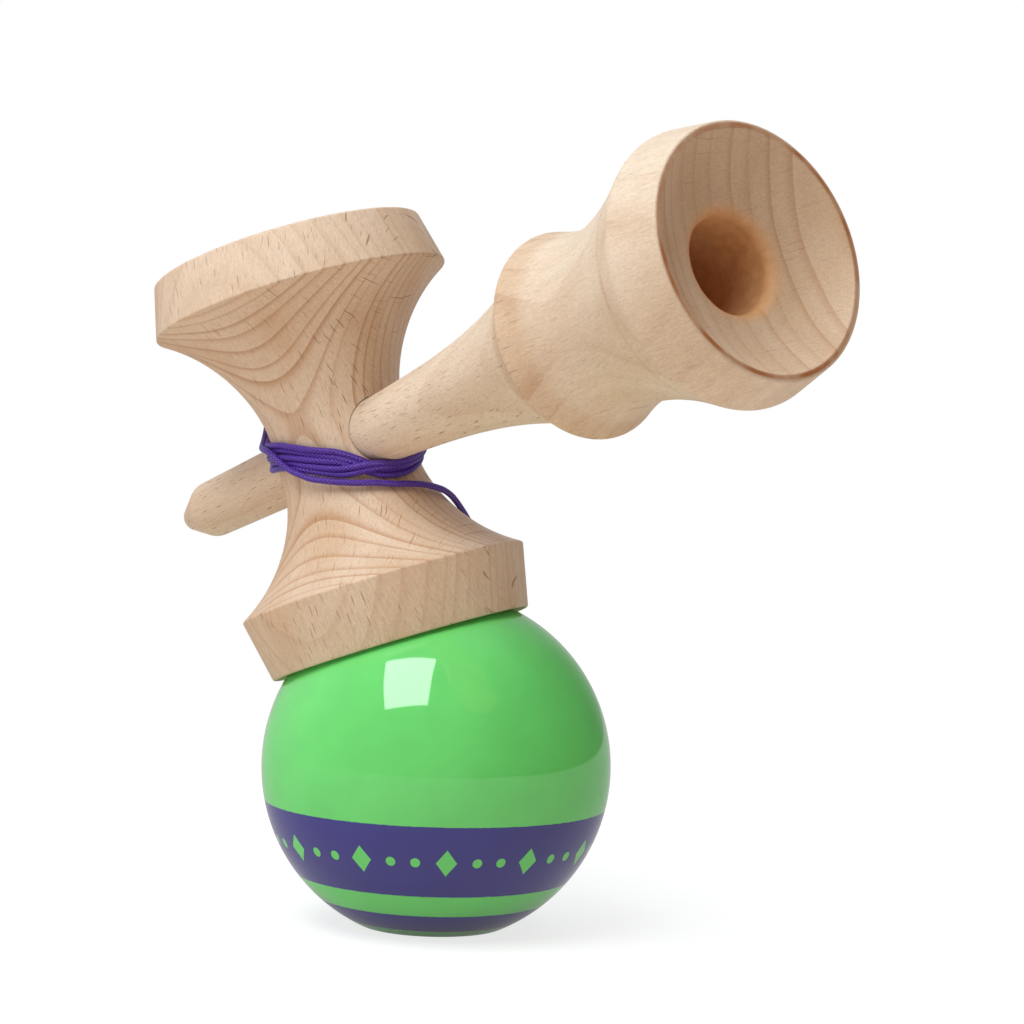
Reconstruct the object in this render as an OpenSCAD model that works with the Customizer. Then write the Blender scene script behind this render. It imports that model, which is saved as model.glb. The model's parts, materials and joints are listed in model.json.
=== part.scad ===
// Kendama standing on its ball: a turned cup piece on a tapered handle, a holed ball and a wound string.
// Origin at the ball's centre, +Z up along the ball's hole, +X to the right, +Y to the back. Millimetres.

/* [Ball] */
// Diameter of the ball
ball_d = 60; // [56:0.5:64]
// Diameter of the main hole in the ball's underside
ball_hole_d = 22; // [19:0.5:23]
// Width of the bevel round the main hole, on whose outer edge the ball stands
ball_hole_bevel = 1.4; // [0.8:0.1:2]
// Length of the main hole's straight wall above its bevel
ball_hole_depth = 32; // [27:0.5:34]
// Height of the drill cone between the main hole and the bead's chamber
ball_cone_h = 3.6; // [2.5:0.1:4]
// Diameter of the bead that holds the string in the ball
bead_d = 9; // [7:0.2:10]
// Height of the bead
bead_h = 8; // [6:0.2:9]

/* [Cup piece] */
// Length from the small cup's rim to the big cup's rim
cup_len = 71.8; // [68:0.2:76]
// Diameter of the waist
waist_d = 24; // [22.4:0.2:26]
// Height of the waist's lower end above the small cup's rim
waist_low = 31.4; // [29:0.2:33]
// Length of the plain waist
waist_len = 9; // [7:0.2:11]
// How far the small cup's shoulder stands out past its rim
small_shoulder_step = 2.4; // [1.2:0.1:4]
// Wall between the small cup's mouth and the outside of its rim
small_rim_wall = 2.05; // [1.5:0.05:3]
// Height of the band between the small cup's rim and its shoulder
small_band_h = 11.4; // [9:0.2:13]
// Diameter of the small cup's mouth, where the ball sits
small_mouth_d = 41.6; // [40.6:0.1:42.4]
// Depth of the small cup's bowl
small_bowl = 13.5; // [12.5:0.1:15]
// How far the small cup's rim drops outside its mouth
rim_drop = 1.5; // [1.2:0.1:1.8]
// How far the big cup's shoulder stands out past its rim
big_shoulder_step = 2.25; // [1.2:0.05:4]
// Wall between the big cup's mouth and the outside of its rim
big_rim_wall = 1.9; // [1.2:0.1:3]
// Height of the band between the big cup's shoulder and its rim
big_band_h = 9.3; // [7:0.2:12]
// Diameter of the big cup's mouth
big_mouth_d = 44; // [41:0.2:45]
// Depth of the big cup's bowl
big_bowl = 13; // [10:0.2:15]
// Height of the handle's axis above the small cup's rim
cross_h = 36; // [34.5:0.2:37.5]
// Radius that eases the turned edges of the wood
edge_r = 0.6; // [0.3:0.1:0.9]

/* [Handle] */
// Diameter of the tapered seat at the cup piece's axis
seat_d = 11.56; // [10.8:0.02:12.2]
// Diameter of the spike where its tip bevel starts
spike_d = 10.44; // [9.8:0.02:10.7]
// Length of the spike from the cup piece's axis to its tip
spike_len = 51.2; // [46:0.2:58]
// Length of the bevel at the spike's tip
tip_len = 7.6; // [5:0.2:10]
// Diameter of the blunt tip
tip_d = 4.2; // [3:0.1:6]
// Diameter of the grip where it meets the collar
grip_d = 22; // [20:0.1:25]
// Distance from the cup piece's axis to the end of the grip
grip_pos = 54.8; // [52:0.2:60]
// Diameter of the collar
collar_d = 33.9; // [30:0.2:37]
// Distance from the cup piece's axis to the collar's edge
collar_pos = 66.3; // [63:0.1:68]
// Diameter of the neck between collar and base cup
neck_d = 28.7; // [26:0.1:30]
// Distance from the cup piece's axis to the neck
neck_pos = 77; // [74:0.5:80]
// How far the base cup's shoulder stands out past its rim
base_shoulder_step = 1.9; // [1:0.1:3.5]
// Distance from the cup piece's axis to the base cup's shoulder
base_shoulder_pos = 99.4; // [96:0.2:102]
// Wall between the base cup's mouth and the outside of its rim
base_rim_wall = 1.1; // [0.8:0.1:2]
// Distance from the cup piece's axis to the base cup's rim
base_rim_pos = 108; // [105:0.1:112]
// Diameter of the base cup's mouth
base_mouth_d = 37.4; // [35:0.2:37.8]
// Depth of the base cup's bowl, measured as if it had no hole
base_bowl = 7.6; // [6:0.2:10]
// Diameter of the hole in the base cup
base_hole_d = 15; // [12:0.5:17]
// Depth of that hole below the base cup's rim
base_hole_depth = 24; // [18:0.5:28]
// Width of the eased lip round that hole
base_lip = 1.6; // [0.8:0.1:2]

/* [String] */
// Diameter of the string
string_d = 1.1; // [1:0.05:1.4]
// Room left between the string and the wood
string_gap = 0.3; // [0.2:0.05:0.4]
// Room left between neighbouring turns of the winding
strand_gap = 0.56; // [0.52:0.01:0.7]
// Length of the knot in the handle
knot_len = 2.2; // [1.6:0.1:2.6]
// Diameter of the knots
knot_d = 2.8; // [2.4:0.1:3.2]

/* [Fits and pose] */
// Radial clearance of the tapered seat in the cup piece
seat_clear = 0.05; // [0.02:0.01:0.1]
// Gap between the ball and the small cup's mouth where they come closest
rest_gap = 0.3; // [0.2:0.05:0.4]
// Gap between the bead and its chamber
bead_gap = 0.3; // [0.2:0.05:0.5]
// Lean of the cup piece from upright
lean = 19.5; // [15:0.5:24]
// Direction of the lean, turned from +X
lean_dir = 161.3; // [150:0.1:175]
// Turn of the handle about the cup piece's axis
handle_turn = 148.66; // [140:0.02:156]
// How far the handle's bore rises from square to the cup piece's axis, in degrees
handle_rise = 0.44; // [-1:0.02:1]

/* [Hidden] */
$fn = 96;
over = 1;

ball_r = ball_d / 2;
string_r = string_d / 2;
lie = string_r + string_gap;
hole_room = 0.5;
string_hole_r = string_r + hole_room;

// Heights in the ball
stand_r = ball_hole_d / 2 + ball_hole_bevel;
stand_z = -sqrt(ball_r * ball_r - stand_r * stand_r);
bore_foot_z = stand_z + ball_hole_bevel;
bore_top_z = bore_foot_z + ball_hole_depth;
chamber_foot_z = bore_top_z + ball_cone_h;
chamber_r = bead_d / 2 + bead_gap;
bead_foot_z = chamber_foot_z + bead_gap;
bead_top_z = bead_foot_z + bead_h;
chamber_top_z = bead_top_z + bead_gap;
join_z = ball_r - string_d;

// Outer diameters of the rims and shoulders, from their mouths
small_rim_d = small_mouth_d + 2 * small_rim_wall;
small_shoulder_d = small_rim_d + 2 * small_shoulder_step;
big_rim_d = big_mouth_d + 2 * big_rim_wall;
big_shoulder_d = big_rim_d + 2 * big_shoulder_step;
base_rim_d = base_mouth_d + 2 * base_rim_wall;
base_shoulder_d = base_rim_d + 2 * base_shoulder_step;

// The string passes under the small cup's rim at the back, which sets the cup off the ball's centre
under_rim_dir = 140;
under_rim_gap = string_d + 2 * string_gap;
far = ball_r + under_rim_gap;
near = ball_r + rest_gap;
cup_shift = (far * far - near * near) / (2 * small_mouth_d);
shift_v = [cup_shift * cos(under_rim_dir), cup_shift * sin(under_rim_dir), 0];

// Heights on the cup piece's axis, from the ball's centre
mouth_t = sqrt(near * near - pow(small_mouth_d / 2 - cup_shift, 2));
rim_t = mouth_t - rim_drop;
small_shoulder_t = rim_t + small_band_h;
waist_t0 = rim_t + waist_low;
waist_t1 = waist_t0 + waist_len;
top_t = rim_t + cup_len;
big_shoulder_t = top_t - big_band_h;
cross_t = rim_t + cross_h;

// Share of the steep part in a flare, and the powers of its two parts
flare_steep = 0.18;
flare_soft_power = 1.78;
flare_steep_power = 6;
flare_steps = 14;

function mix(a, b, u) = a + (b - a) * u;
function flare(u) = (1 - flare_steep) * pow(u, flare_soft_power) + flare_steep * pow(u, flare_steep_power);
function smooth(u) = let (c = max(0, min(1, u))) c * c * (3 - 2 * c);
function unit(v) = v / norm(v);

// Radius of the cup piece at height t
function cup_r(t) =
    t < small_shoulder_t
        ? mix(small_rim_d, small_shoulder_d, (t - rim_t) / small_band_h) / 2
    : t < waist_t0
        ? mix(waist_d, small_shoulder_d, flare((waist_t0 - t) / (waist_t0 - small_shoulder_t))) / 2
    : t < waist_t1
        ? waist_d / 2
    : t < big_shoulder_t
        ? mix(waist_d, big_shoulder_d, flare((t - waist_t1) / (big_shoulder_t - waist_t1))) / 2
    : mix(big_shoulder_d, big_rim_d, (t - big_shoulder_t) / big_band_h) / 2;

// Radius at which a string lies on the cup piece at height t
function lie_r(t) =
    let (slope = (cup_r(t + 0.1) - cup_r(t - 0.1)) / 0.2)
    cup_r(t) + lie * sqrt(1 + slope * slope);

// Lengths on the handle's axis, from the cup piece's axis
spike_slope = (seat_d - spike_d) / 2 / (spike_len - tip_len);
grip_start = waist_d / 2 + 2;
grip_line = 2;
collar_back = 1.4;
collar_round = 0.7;

// Radius of the handle's tapered seat and spike at distance s
function seat_r(s) = seat_d / 2 + spike_slope * s;
// Radius of the grip at distance s
function grip_r(s) =
    let (u = (s - grip_start) / (grip_pos - grip_start))
    let (rise = grip_d / 2 - seat_r(grip_start))
    seat_r(grip_start) + grip_line * u + (rise - grip_line) * pow(u, 3);

// Points of a round of radius r at corner b, between the lines to a and to c
function corner(a, b, c, r, steps = 4) =
    let (u = unit(a - b), v = unit(c - b), half = acos(u * v) / 2)
    let (centre = b + unit(u + v) * r / sin(half))
    let (from = b + u * r / tan(half) - centre, to = b + v * r / tan(half) - centre)
    let (a0 = atan2(from.y, from.x), turn = (atan2(to.y, to.x) - a0 + 540) % 360 - 180)
    [for (i = [0 : steps]) centre + r * [cos(a0 + turn * i / steps), sin(a0 + turn * i / steps)]];

// Frame of the cup piece: its axis upright, the handle along +X
module cup_frame() {
    rotate([0, 0, lean_dir]) rotate([0, lean, 0]) rotate([0, 0, handle_turn]) translate(shift_v) children();
}

// Frame of the handle: its axis along +Z, towards the base cup
module handle_frame() {
    cup_frame() translate([0, 0, cross_t]) rotate([0, 90 - handle_rise, 0]) children();
}

function turn_z(a, p) = [p.x * cos(a) - p.y * sin(a), p.x * sin(a) + p.y * cos(a), p.z];
function turn_y(a, p) = [p.x * cos(a) + p.z * sin(a), p.y, p.z * cos(a) - p.x * sin(a)];
function from_lean(p) = turn_z(lean_dir, turn_y(lean, turn_z(handle_turn, p)));
function from_cup(p) = from_lean(p + shift_v);
function round_axis(a, r, t) = [r * cos(a), r * sin(a), t];

// One closed tube through the points of a path, with a ring of sides at each point
function tangent(p, i) =
    let (last = len(p) - 1)
    i == 0 ? unit(p[1] - p[0])
    : i == last ? unit(p[last] - p[last - 1])
    : unit(unit(p[i] - p[i - 1]) + unit(p[i + 1] - p[i]));
function across(v, t) = unit(v - (v * t) * t);
function any_across(t) = abs(t.z) < 0.8 ? across([0, 0, 1], t) : across([1, 0, 0], t);
function sides_of(p) =
    [for (i = 0, n = any_across(tangent(p, 0)); i < len(p); i = i + 1, n = i < len(p) ? across(n, tangent(p, i)) : n) n];

module tube(p, r, sides) {
    normals = sides_of(p);
    rings = len(p);
    points = [
        for (i = [0 : rings - 1])
            let (n = normals[i], b = cross(tangent(p, i), n))
            for (k = [0 : sides - 1]) p[i] + r * (cos(360 * k / sides) * n + sin(360 * k / sides) * b)
    ];
    skin = [
        for (i = [0 : rings - 2])
            for (k = [0 : sides - 1])
                let (a = i * sides + k, b = i * sides + (k + 1) % sides)
                for (f = [[a, a + sides, b], [b, a + sides, b + sides]]) f
    ];
    start = [for (k = [1 : sides - 2]) [0, k, k + 1]];
    last = (rings - 1) * sides;
    end = [for (k = [1 : sides - 2]) [last, last + k + 1, last + k]];
    polyhedron(points = points, faces = concat(skin, start, end), convexity = 10);
}

// The winding runs under the grip and over the spike, out in one layer and back in a second
wrap_turns = 5.75;
wrap_reverse = 2.9;
wrap_start = 90;
wrap_rings = 24;
wrap_pitch = string_d + strand_gap;
wrap_layer = string_d + strand_gap;
wrap_top_at_grip = 2.75 * wrap_pitch;
wrap_foot_at_spike = 0.25 * wrap_pitch;
wrap_low_t = cross_t - grip_r(waist_d / 2 + 5) - lie - wrap_top_at_grip;
wrap_high_t = cross_t + seat_d / 2 + lie - wrap_foot_at_spike;
wrap_mid_t = (wrap_low_t + wrap_high_t) / 2;
wrap_swing = (wrap_high_t - wrap_low_t) / 2;

function wrap_rise(n) = wrap_pitch * (n < wrap_reverse ? n : 2 * wrap_reverse - n);
function wrap_climb(n) = wrap_layer * smooth((n - wrap_reverse) * 2 + 0.5);
// Where the turns run aslant, they stand further apart along the axis
function wrap_spread(a) = norm([1, wrap_swing * sin(a) / (waist_d / 2)]);
function wrap_point(n) =
    let (a = wrap_start + 360 * n)
    let (t = wrap_mid_t - wrap_swing * cos(a) + wrap_rise(n) * wrap_spread(a))
    round_axis(a, lie_r(t) + wrap_climb(n), t);

// The winding leaves the string hole straight out, and ends straight on
anchor_t = wrap_point(0).z;
anchor_r = waist_d / 2 - string_d;
wrap_bend = 0.02;
wrap_count = wrap_rings * wrap_turns;
wrap_out = [
    round_axis(wrap_start, anchor_r, anchor_t),
    round_axis(wrap_start, anchor_r + string_d, anchor_t),
    round_axis(wrap_start + 2.5, lie_r(anchor_t) - string_r / 4, anchor_t)
];
wrap_loops = [for (i = [0 : wrap_count]) wrap_point(max(wrap_bend, i / wrap_rings))];
wrap_end = wrap_loops[len(wrap_loops) - 1];
wrap_dir = unit(wrap_end - wrap_loops[len(wrap_loops) - 2]);
wrap_tail = wrap_end + string_d * wrap_dir;
wrap_path = concat(wrap_out, wrap_loops, [wrap_tail]);

// Least gap of the winding to itself, between each point and each stretch well away along the string
function to_stretch(q, a, b) =
    let (d = b - a, u = max(0, min(1, ((q - a) * d) / (d * d)))) norm(q - a - u * d);
wrap_apart = 6;
wrap_gap = min([
    for (i = [0 : len(wrap_path) - 1])
        for (j = [i + wrap_apart : 1 : len(wrap_path) - 2])
            to_stretch(wrap_path[i], wrap_path[j], wrap_path[j + 1])
]) - string_d;
echo(str("winding: least gap to itself ", wrap_gap, " mm over ", wrap_turns, " turns"));

// Route of the lead down the small cup: direction, height above its rim, extra room off the wood
cup_route = [
    [12, 24.3, 1.2], [23, 23.9, 0.7], [35, 23.3, 0.4], [46, 22.5, 0.3], [54, 21.4, 0.2], [61, 20.1, 0.1],
    [68, 18.8, 0.1], [75, 17.3, 0.1], [82, 15.7, 0.1], [88, 14, 0.1], [94, 12.3, 0.5], [99, 10.6, 0.4],
    [104, 8, 0.1], [108, 5.8, 0.1], [112, 3.5, 0.1], [117, 1.2, 0.2]
];
// Then over the ball under the rim: direction, angle from the cup piece's axis, extra room off the ball
ball_route = [
    [124, 50, 1.7], [130, 47.5, 0.2], [134, 43, 0], [137, 38, 0], [134, 33, 0], [127, 28.5, 0], [117, 25, 0],
    [104, 22.5, 0], [90, 21, 0]
];
// Then up and over into the string hole: distance behind the hole's axis, height above the ball's top
hole_route = [[7.9, -0.2], [6.6, 0.4], [5.4, 1.1], [4.4, 1.7], [3.4, 2.1], [2.3, 2.2], [1.2, 1.8], [0.4, 1], [0, 0]];
lead_path = concat(
    [from_cup(wrap_tail), from_cup(wrap_tail + string_d * wrap_dir)],
    [for (q = cup_route) from_cup(round_axis(q[0], lie_r(rim_t + q[1]) + q[2], rim_t + q[1]))],
    [
        for (q = ball_route)
            let (r = ball_r + lie + q[2]) from_lean(round_axis(q[0], r * sin(q[1]), r * cos(q[1])))
    ],
    [for (q = hole_route) [0, q[0], ball_r + q[1]]],
    [[0, 0, join_z]]
);

function path_len(p) = len(p) < 2 ? 0 : [for (i = 0, s = 0; i < len(p); i = i + 1,
    s = i < len(p) ? s + norm(p[i] - p[i - 1]) : s) s][len(p) - 1];
echo(str("string: winding ", path_len(wrap_path), " mm, lead ", path_len(lead_path), " mm"));

wood = [0.88, 0.75, 0.59];
paint = [0.30, 0.76, 0.34];
cord = [0.31, 0.17, 0.62];

// Ball with its main hole, the bead's chamber and the string hole
module tama() {
    color(paint) difference() {
        sphere(r = ball_r);
        translate([0, 0, bore_foot_z]) cylinder(r = ball_hole_d / 2, h = ball_hole_depth);
        bevel_h = ball_r + stand_z + over + ball_hole_bevel;
        translate([0, 0, bore_foot_z - bevel_h])
            cylinder(r1 = ball_hole_d / 2 + bevel_h, r2 = ball_hole_d / 2, h = bevel_h);
        translate([0, 0, bore_top_z]) cylinder(r1 = ball_hole_d / 2, r2 = chamber_r, h = ball_cone_h);
        translate([0, 0, chamber_foot_z]) cylinder(r = chamber_r, h = chamber_top_z - chamber_foot_z);
        translate([0, 0, chamber_top_z]) cylinder(r = string_hole_r, h = ball_r + over - chamber_top_z);
    }
}

// Turned bead with a hole for the string
module bead() {
    round_r = bead_h / 4;
    color(wood) translate([0, 0, bead_foot_z]) difference() {
        rotate_extrude() polygon(concat(
            [[0, 0]],
            corner([0, 0], [bead_d / 2, 0], [bead_d / 2, bead_h], round_r, 6),
            corner([bead_d / 2, 0], [bead_d / 2, bead_h], [0, bead_h], round_r, 6),
            [[0, bead_h]]
        ));
        translate([0, 0, -over]) cylinder(r = string_r + string_gap / 2, h = bead_h + 2 * over);
    }
}

// Knot under the bead
module tama_knot() {
    color(cord) translate([0, 0, bead_foot_z - knot_d]) rounded_stub(knot_d / 2, knot_d, knot_d / 4);
}

// String from the lead through the ball's small hole and the bead to the knot
module tama_string() {
    color(cord) translate([0, 0, bead_foot_z]) cylinder(r = string_r, h = join_z - bead_foot_z);
}

// Short round bar with eased ends
module rounded_stub(r, h, round_r) {
    rotate_extrude() polygon(concat(
        [[0, 0]],
        corner([0, 0], [r, 0], [r, h], round_r),
        corner([r, 0], [r, h], [0, h], round_r),
        [[0, h]]
    ));
}

// Ball-shaped cutter for a bowl that is m wide and depth deep, its mouth at height zero, its bottom at +Z
module bowl_cut(m, depth) {
    r = (m * m / 4 + depth * depth) / (2 * depth);
    translate([0, 0, depth - r]) sphere(r = r);
}

// Cup piece with the small cup below, the big cup above and the handle's seat across
module sarado() {
    small_rim = [small_rim_d / 2, rim_t];
    small_mouth = [small_mouth_d / 2, mouth_t];
    inside = small_mouth + (small_mouth - small_rim);
    small_shoulder = [small_shoulder_d / 2, small_shoulder_t];
    big_shoulder = [big_shoulder_d / 2, big_shoulder_t];
    big_rim = [big_rim_d / 2, top_t];
    low_t = [for (i = [1 : flare_steps]) mix(small_shoulder_t, waist_t0, i / flare_steps)];
    high_t = [for (i = [0 : flare_steps - 1]) mix(waist_t1, big_shoulder_t, i / flare_steps)];
    low = [for (t = low_t) [cup_r(t), t]];
    high = [for (t = high_t) [cup_r(t), t]];
    color(wood) cup_frame() difference() {
        rotate_extrude() polygon(concat(
            [[0, inside.y], inside],
            corner(inside, small_rim, small_shoulder, edge_r / 2),
            corner(small_rim, small_shoulder, low[0], edge_r / 2),
            low,
            high,
            corner(high[flare_steps - 1], big_shoulder, big_rim, edge_r / 2),
            corner(big_shoulder, big_rim, [0, top_t], edge_r),
            [[0, top_t]]
        ));
        translate([0, 0, mouth_t]) bowl_cut(small_mouth_d, small_bowl);
        translate([0, 0, top_t]) mirror([0, 0, 1]) bowl_cut(big_mouth_d, big_bowl);
        seat_half = waist_d / 2 + over;
        translate([0, 0, cross_t]) rotate([0, 90 - handle_rise, 0]) translate([0, 0, -seat_half])
            cylinder(r1 = seat_r(-seat_half) + seat_clear, r2 = seat_r(seat_half) + seat_clear, h = 2 * seat_half);
        translate([0, 0, anchor_t]) rotate([-90, 0, 0]) cylinder(r = string_hole_r, h = waist_d);
    }
}

// Where the string meets the handle's seat, off its axis by the height of the string hole
anchor_off = cross_t - anchor_t;
seat_chord = sqrt(pow(seat_d / 2, 2) - pow(anchor_off + string_r, 2));
bore_chord = sqrt(pow(seat_d / 2 + seat_clear, 2) - pow(anchor_off - string_r, 2));

// String in the cup piece's hole
module string_anchor() {
    from = bore_chord + seat_clear;
    color(cord) cup_frame() translate([0, from, anchor_t]) rotate([-90, 0, 0])
        cylinder(r = string_r, h = anchor_r - from);
}

// String wound round the waist
module string_winding() {
    color(cord) cup_frame() tube(wrap_path, string_r, 6);
}

// String from the winding to the ball
module string_lead() {
    color(cord) tube(lead_path, string_r, 8);
}

// Pocket in the handle for the knot
knot_room = 0.3;
pocket_r = knot_d / 2 + knot_room;
pocket_chord = sqrt(pow(seat_d / 2, 2) - pow(anchor_off + knot_d / 2, 2));
knot_top = pocket_chord - knot_room;

// Handle with spike, grip, collar and base cup
module ken() {
    tip = [tip_d / 2, -spike_len];
    spike = [spike_d / 2, tip_len - spike_len];
    grip = [for (i = [0 : flare_steps]) let (s = mix(grip_start, grip_pos, i / flare_steps)) [grip_r(s), s]];
    collar = [collar_d / 2, collar_pos];
    back_s = collar_pos - collar_back;
    back_slope = (grip[flare_steps].x - grip[flare_steps - 1].x) / (grip[flare_steps].y - grip[flare_steps - 1].y);
    back_rise = (collar_d - grip_d) / 2 - collar_back - back_slope * (back_s - grip_pos);
    back = [
        for (i = [1 : flare_steps / 2])
            let (u = 2 * i / flare_steps, s = mix(grip_pos, back_s, u))
            [grip_d / 2 + back_slope * (s - grip_pos) + back_rise * pow(u, 3), s]
    ];
    front = [
        for (i = [1 : flare_steps / 2])
            let (u = 1 - 2 * i / flare_steps)
            [mix(neck_d, collar_d, pow(u, 1.55)) / 2, mix(neck_pos, collar_pos, u)]
    ];
    base = [
        for (i = [1 : flare_steps - 1])
            let (u = i / flare_steps)
            [mix(neck_d, base_shoulder_d, pow(u, 1.6)) / 2, mix(neck_pos, base_shoulder_pos, u)]
    ];
    shoulder = [base_shoulder_d / 2, base_shoulder_pos];
    rim = [base_rim_d / 2, base_rim_pos];
    lip_s = base_rim_pos - bowl_depth_at(base_hole_d / 2 + base_lip);
    color(wood) handle_frame() difference() {
        rotate_extrude() polygon(concat(
            [[0, -spike_len]],
            corner([0, -spike_len], tip, spike, edge_r * 2),
            corner(tip, spike, [seat_r(0), 0], edge_r * 2),
            grip,
            back,
            corner(back[flare_steps / 2 - 1], collar, front[0], collar_round, 6),
            front,
            base,
            corner(base[flare_steps - 2], shoulder, rim, edge_r * 2),
            corner(shoulder, rim, [0, base_rim_pos], edge_r / 2),
            [[0, base_rim_pos]]
        ));
        translate([0, 0, base_rim_pos]) mirror([0, 0, 1]) bowl_cut(base_mouth_d, base_bowl);
        translate([0, 0, base_rim_pos - base_hole_depth]) cylinder(r = base_hole_d / 2, h = base_hole_depth + over);
        translate([0, 0, lip_s - base_lip])
            cylinder(r1 = base_hole_d / 2, r2 = base_hole_d / 2 + base_lip, h = base_lip);
        translate([anchor_off, knot_top - knot_len - knot_room, 0]) rotate([-90, 0, 0])
            cylinder(r = pocket_r, h = seat_d);
    }
}

// Depth of the base cup's bowl at radius r
function bowl_depth_at(r) =
    let (m = base_mouth_d / 2, ball = (m * m + base_bowl * base_bowl) / (2 * base_bowl))
    base_bowl - ball + sqrt(ball * ball - r * r);

// Knot in the handle's pocket, with the stub of string that leaves it
module ken_knot() {
    color(cord) handle_frame() translate([anchor_off, knot_top, 0]) rotate([-90, 0, 0]) {
        translate([0, 0, -knot_len]) rounded_stub(knot_d / 2, knot_len, knot_d / 5);
        translate([0, 0, -string_d]) cylinder(r = string_r, h = seat_chord - knot_top - seat_clear + string_d);
    }
}

tama();
bead();
tama_knot();
tama_string();
sarado();
string_anchor();
string_winding();
string_lead();
ken();
ken_knot();
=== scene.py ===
import json
import math

import bmesh
import bpy
from bpy.props import FloatProperty, FloatVectorProperty, IntProperty, PointerProperty
from mathutils import Matrix, Vector
from mathutils.geometry import interpolate_bezier


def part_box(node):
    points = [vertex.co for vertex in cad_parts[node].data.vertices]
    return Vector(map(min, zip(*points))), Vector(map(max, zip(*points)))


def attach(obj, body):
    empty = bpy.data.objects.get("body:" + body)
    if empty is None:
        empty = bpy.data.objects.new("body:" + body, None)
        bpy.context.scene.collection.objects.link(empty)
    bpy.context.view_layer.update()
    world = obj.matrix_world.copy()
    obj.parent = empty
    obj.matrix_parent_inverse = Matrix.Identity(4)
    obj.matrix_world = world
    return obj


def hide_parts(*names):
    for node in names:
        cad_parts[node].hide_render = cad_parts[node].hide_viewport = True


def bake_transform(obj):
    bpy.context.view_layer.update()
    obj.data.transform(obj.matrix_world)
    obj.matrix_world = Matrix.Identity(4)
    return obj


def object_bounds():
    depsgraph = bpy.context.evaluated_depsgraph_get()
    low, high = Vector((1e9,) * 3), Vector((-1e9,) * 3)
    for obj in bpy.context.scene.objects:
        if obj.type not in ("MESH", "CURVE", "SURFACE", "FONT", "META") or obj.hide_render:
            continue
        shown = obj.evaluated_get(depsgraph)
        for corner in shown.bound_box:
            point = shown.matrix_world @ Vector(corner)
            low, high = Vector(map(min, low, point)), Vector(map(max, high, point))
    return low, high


bl_info = {
    "name": "Kendama",
    "version": (1, 0, 0),
    "blender": (4, 5, 0),
    "location": "3D View > Sidebar > Kendama",
    "description": "Turned beech cup-and-ball toy with a lacquered ball and a wound braided string",
    "category": "Add Mesh",
}

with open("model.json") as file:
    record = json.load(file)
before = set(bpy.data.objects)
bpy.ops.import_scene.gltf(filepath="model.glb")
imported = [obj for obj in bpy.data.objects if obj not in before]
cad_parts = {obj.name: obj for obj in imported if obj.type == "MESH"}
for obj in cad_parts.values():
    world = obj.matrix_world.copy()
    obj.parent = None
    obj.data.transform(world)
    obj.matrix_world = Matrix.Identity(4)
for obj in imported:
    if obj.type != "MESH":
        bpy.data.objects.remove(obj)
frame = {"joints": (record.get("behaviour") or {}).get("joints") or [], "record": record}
CAD_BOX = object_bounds()

MM = 0.001
JOINT_AXES = {j["name"]: Vector(j["axis"]).normalized() for j in frame["joints"]}
MOUNTS = {m["name"]: m for m in frame["record"]["mounts"]}

# Axes of the cup piece and the handle, and the point where they cross
CUP_AXIS = JOINT_AXES["cup_lift"]
HANDLE_AXIS = JOINT_AXES["handle_pull"]
SIDE_AXIS = CUP_AXIS.cross(HANDLE_AXIS).normalized()
BASE_HOLE_AT = 92 * MM
CROSSING = Vector(MOUNTS["base_hole"]["pos_m"]) - BASE_HOLE_AT * HANDLE_AXIS
CROSS_HEIGHT = 36 * MM


def frame_of(x, y, z, origin):
    """Matrix of a frame from its three axes and its origin."""
    turned = Matrix((x, y, z)).transposed().to_4x4()
    return Matrix.Translation(origin) @ turned


# The cup piece stands on its small rim with the handle along +X.
# The handle runs along +Z from the crossing.
CUP_FRAME = frame_of(SIDE_AXIS.cross(CUP_AXIS), SIDE_AXIS, CUP_AXIS, CROSSING - CROSS_HEIGHT * CUP_AXIS)
HANDLE_FRAME = frame_of(SIDE_AXIS.cross(HANDLE_AXIS), SIDE_AXIS, HANDLE_AXIS, CROSSING)
# Turns a rod from +Z to +Y, the side where the string goes in
TO_STRING_SIDE = Matrix.Rotation(-math.pi / 2, 4, "X")


def length(name, description, default):
    """A size in metres."""
    return FloatProperty(
        name=name, description=description, default=default, min=0, precision=5, unit="LENGTH"
    )


def colour(name, description, default):
    """A linear colour."""
    return FloatVectorProperty(
        name=name, description=description, default=default, size=3, min=0, max=1, subtype="COLOR"
    )


class BallSettings(bpy.types.PropertyGroup):
    diameter: length("Diameter", "Diameter of the ball", 2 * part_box("tama")[1].x)
    hole: length("Main hole", "Diameter of the main hole", 2 * MM * MOUNTS["tama_hole"]["dims"]["r_mm"])
    hole_bevel: length("Hole bevel", "Width of the bevel round the main hole", 1.4 * MM)
    hole_depth: length("Hole depth", "Length of the main hole's straight wall", 32 * MM)
    cone: length("Drill cone", "Height of the cone above the main hole", 3.6 * MM)
    bead: length("Bead", "Diameter of the bead inside the ball", 9 * MM)
    bead_height: length("Bead height", "Height of the bead", 8 * MM)
    bead_gap: length("Bead gap", "Gap between the bead and its chamber", 0.3 * MM)
    wide_band_top: FloatProperty(
        name="Wide band top", description="Upper edge of the wide band", default=-6.2 * MM, unit="LENGTH"
    )
    wide_band: length("Wide band", "Height of the wide band", 12.4 * MM)
    narrow_band_top: FloatProperty(
        name="Narrow band top", description="Upper edge of the narrow band", default=-22.5 * MM,
        unit="LENGTH"
    )
    narrow_band: length("Narrow band", "Height of the narrow band", 3.4 * MM)
    paint: colour("Paint", "Colour of the lacquer", (0.155, 0.745, 0.172))
    band_paint: colour("Band paint", "Colour of the bands", (0.043, 0.036, 0.260))


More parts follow.
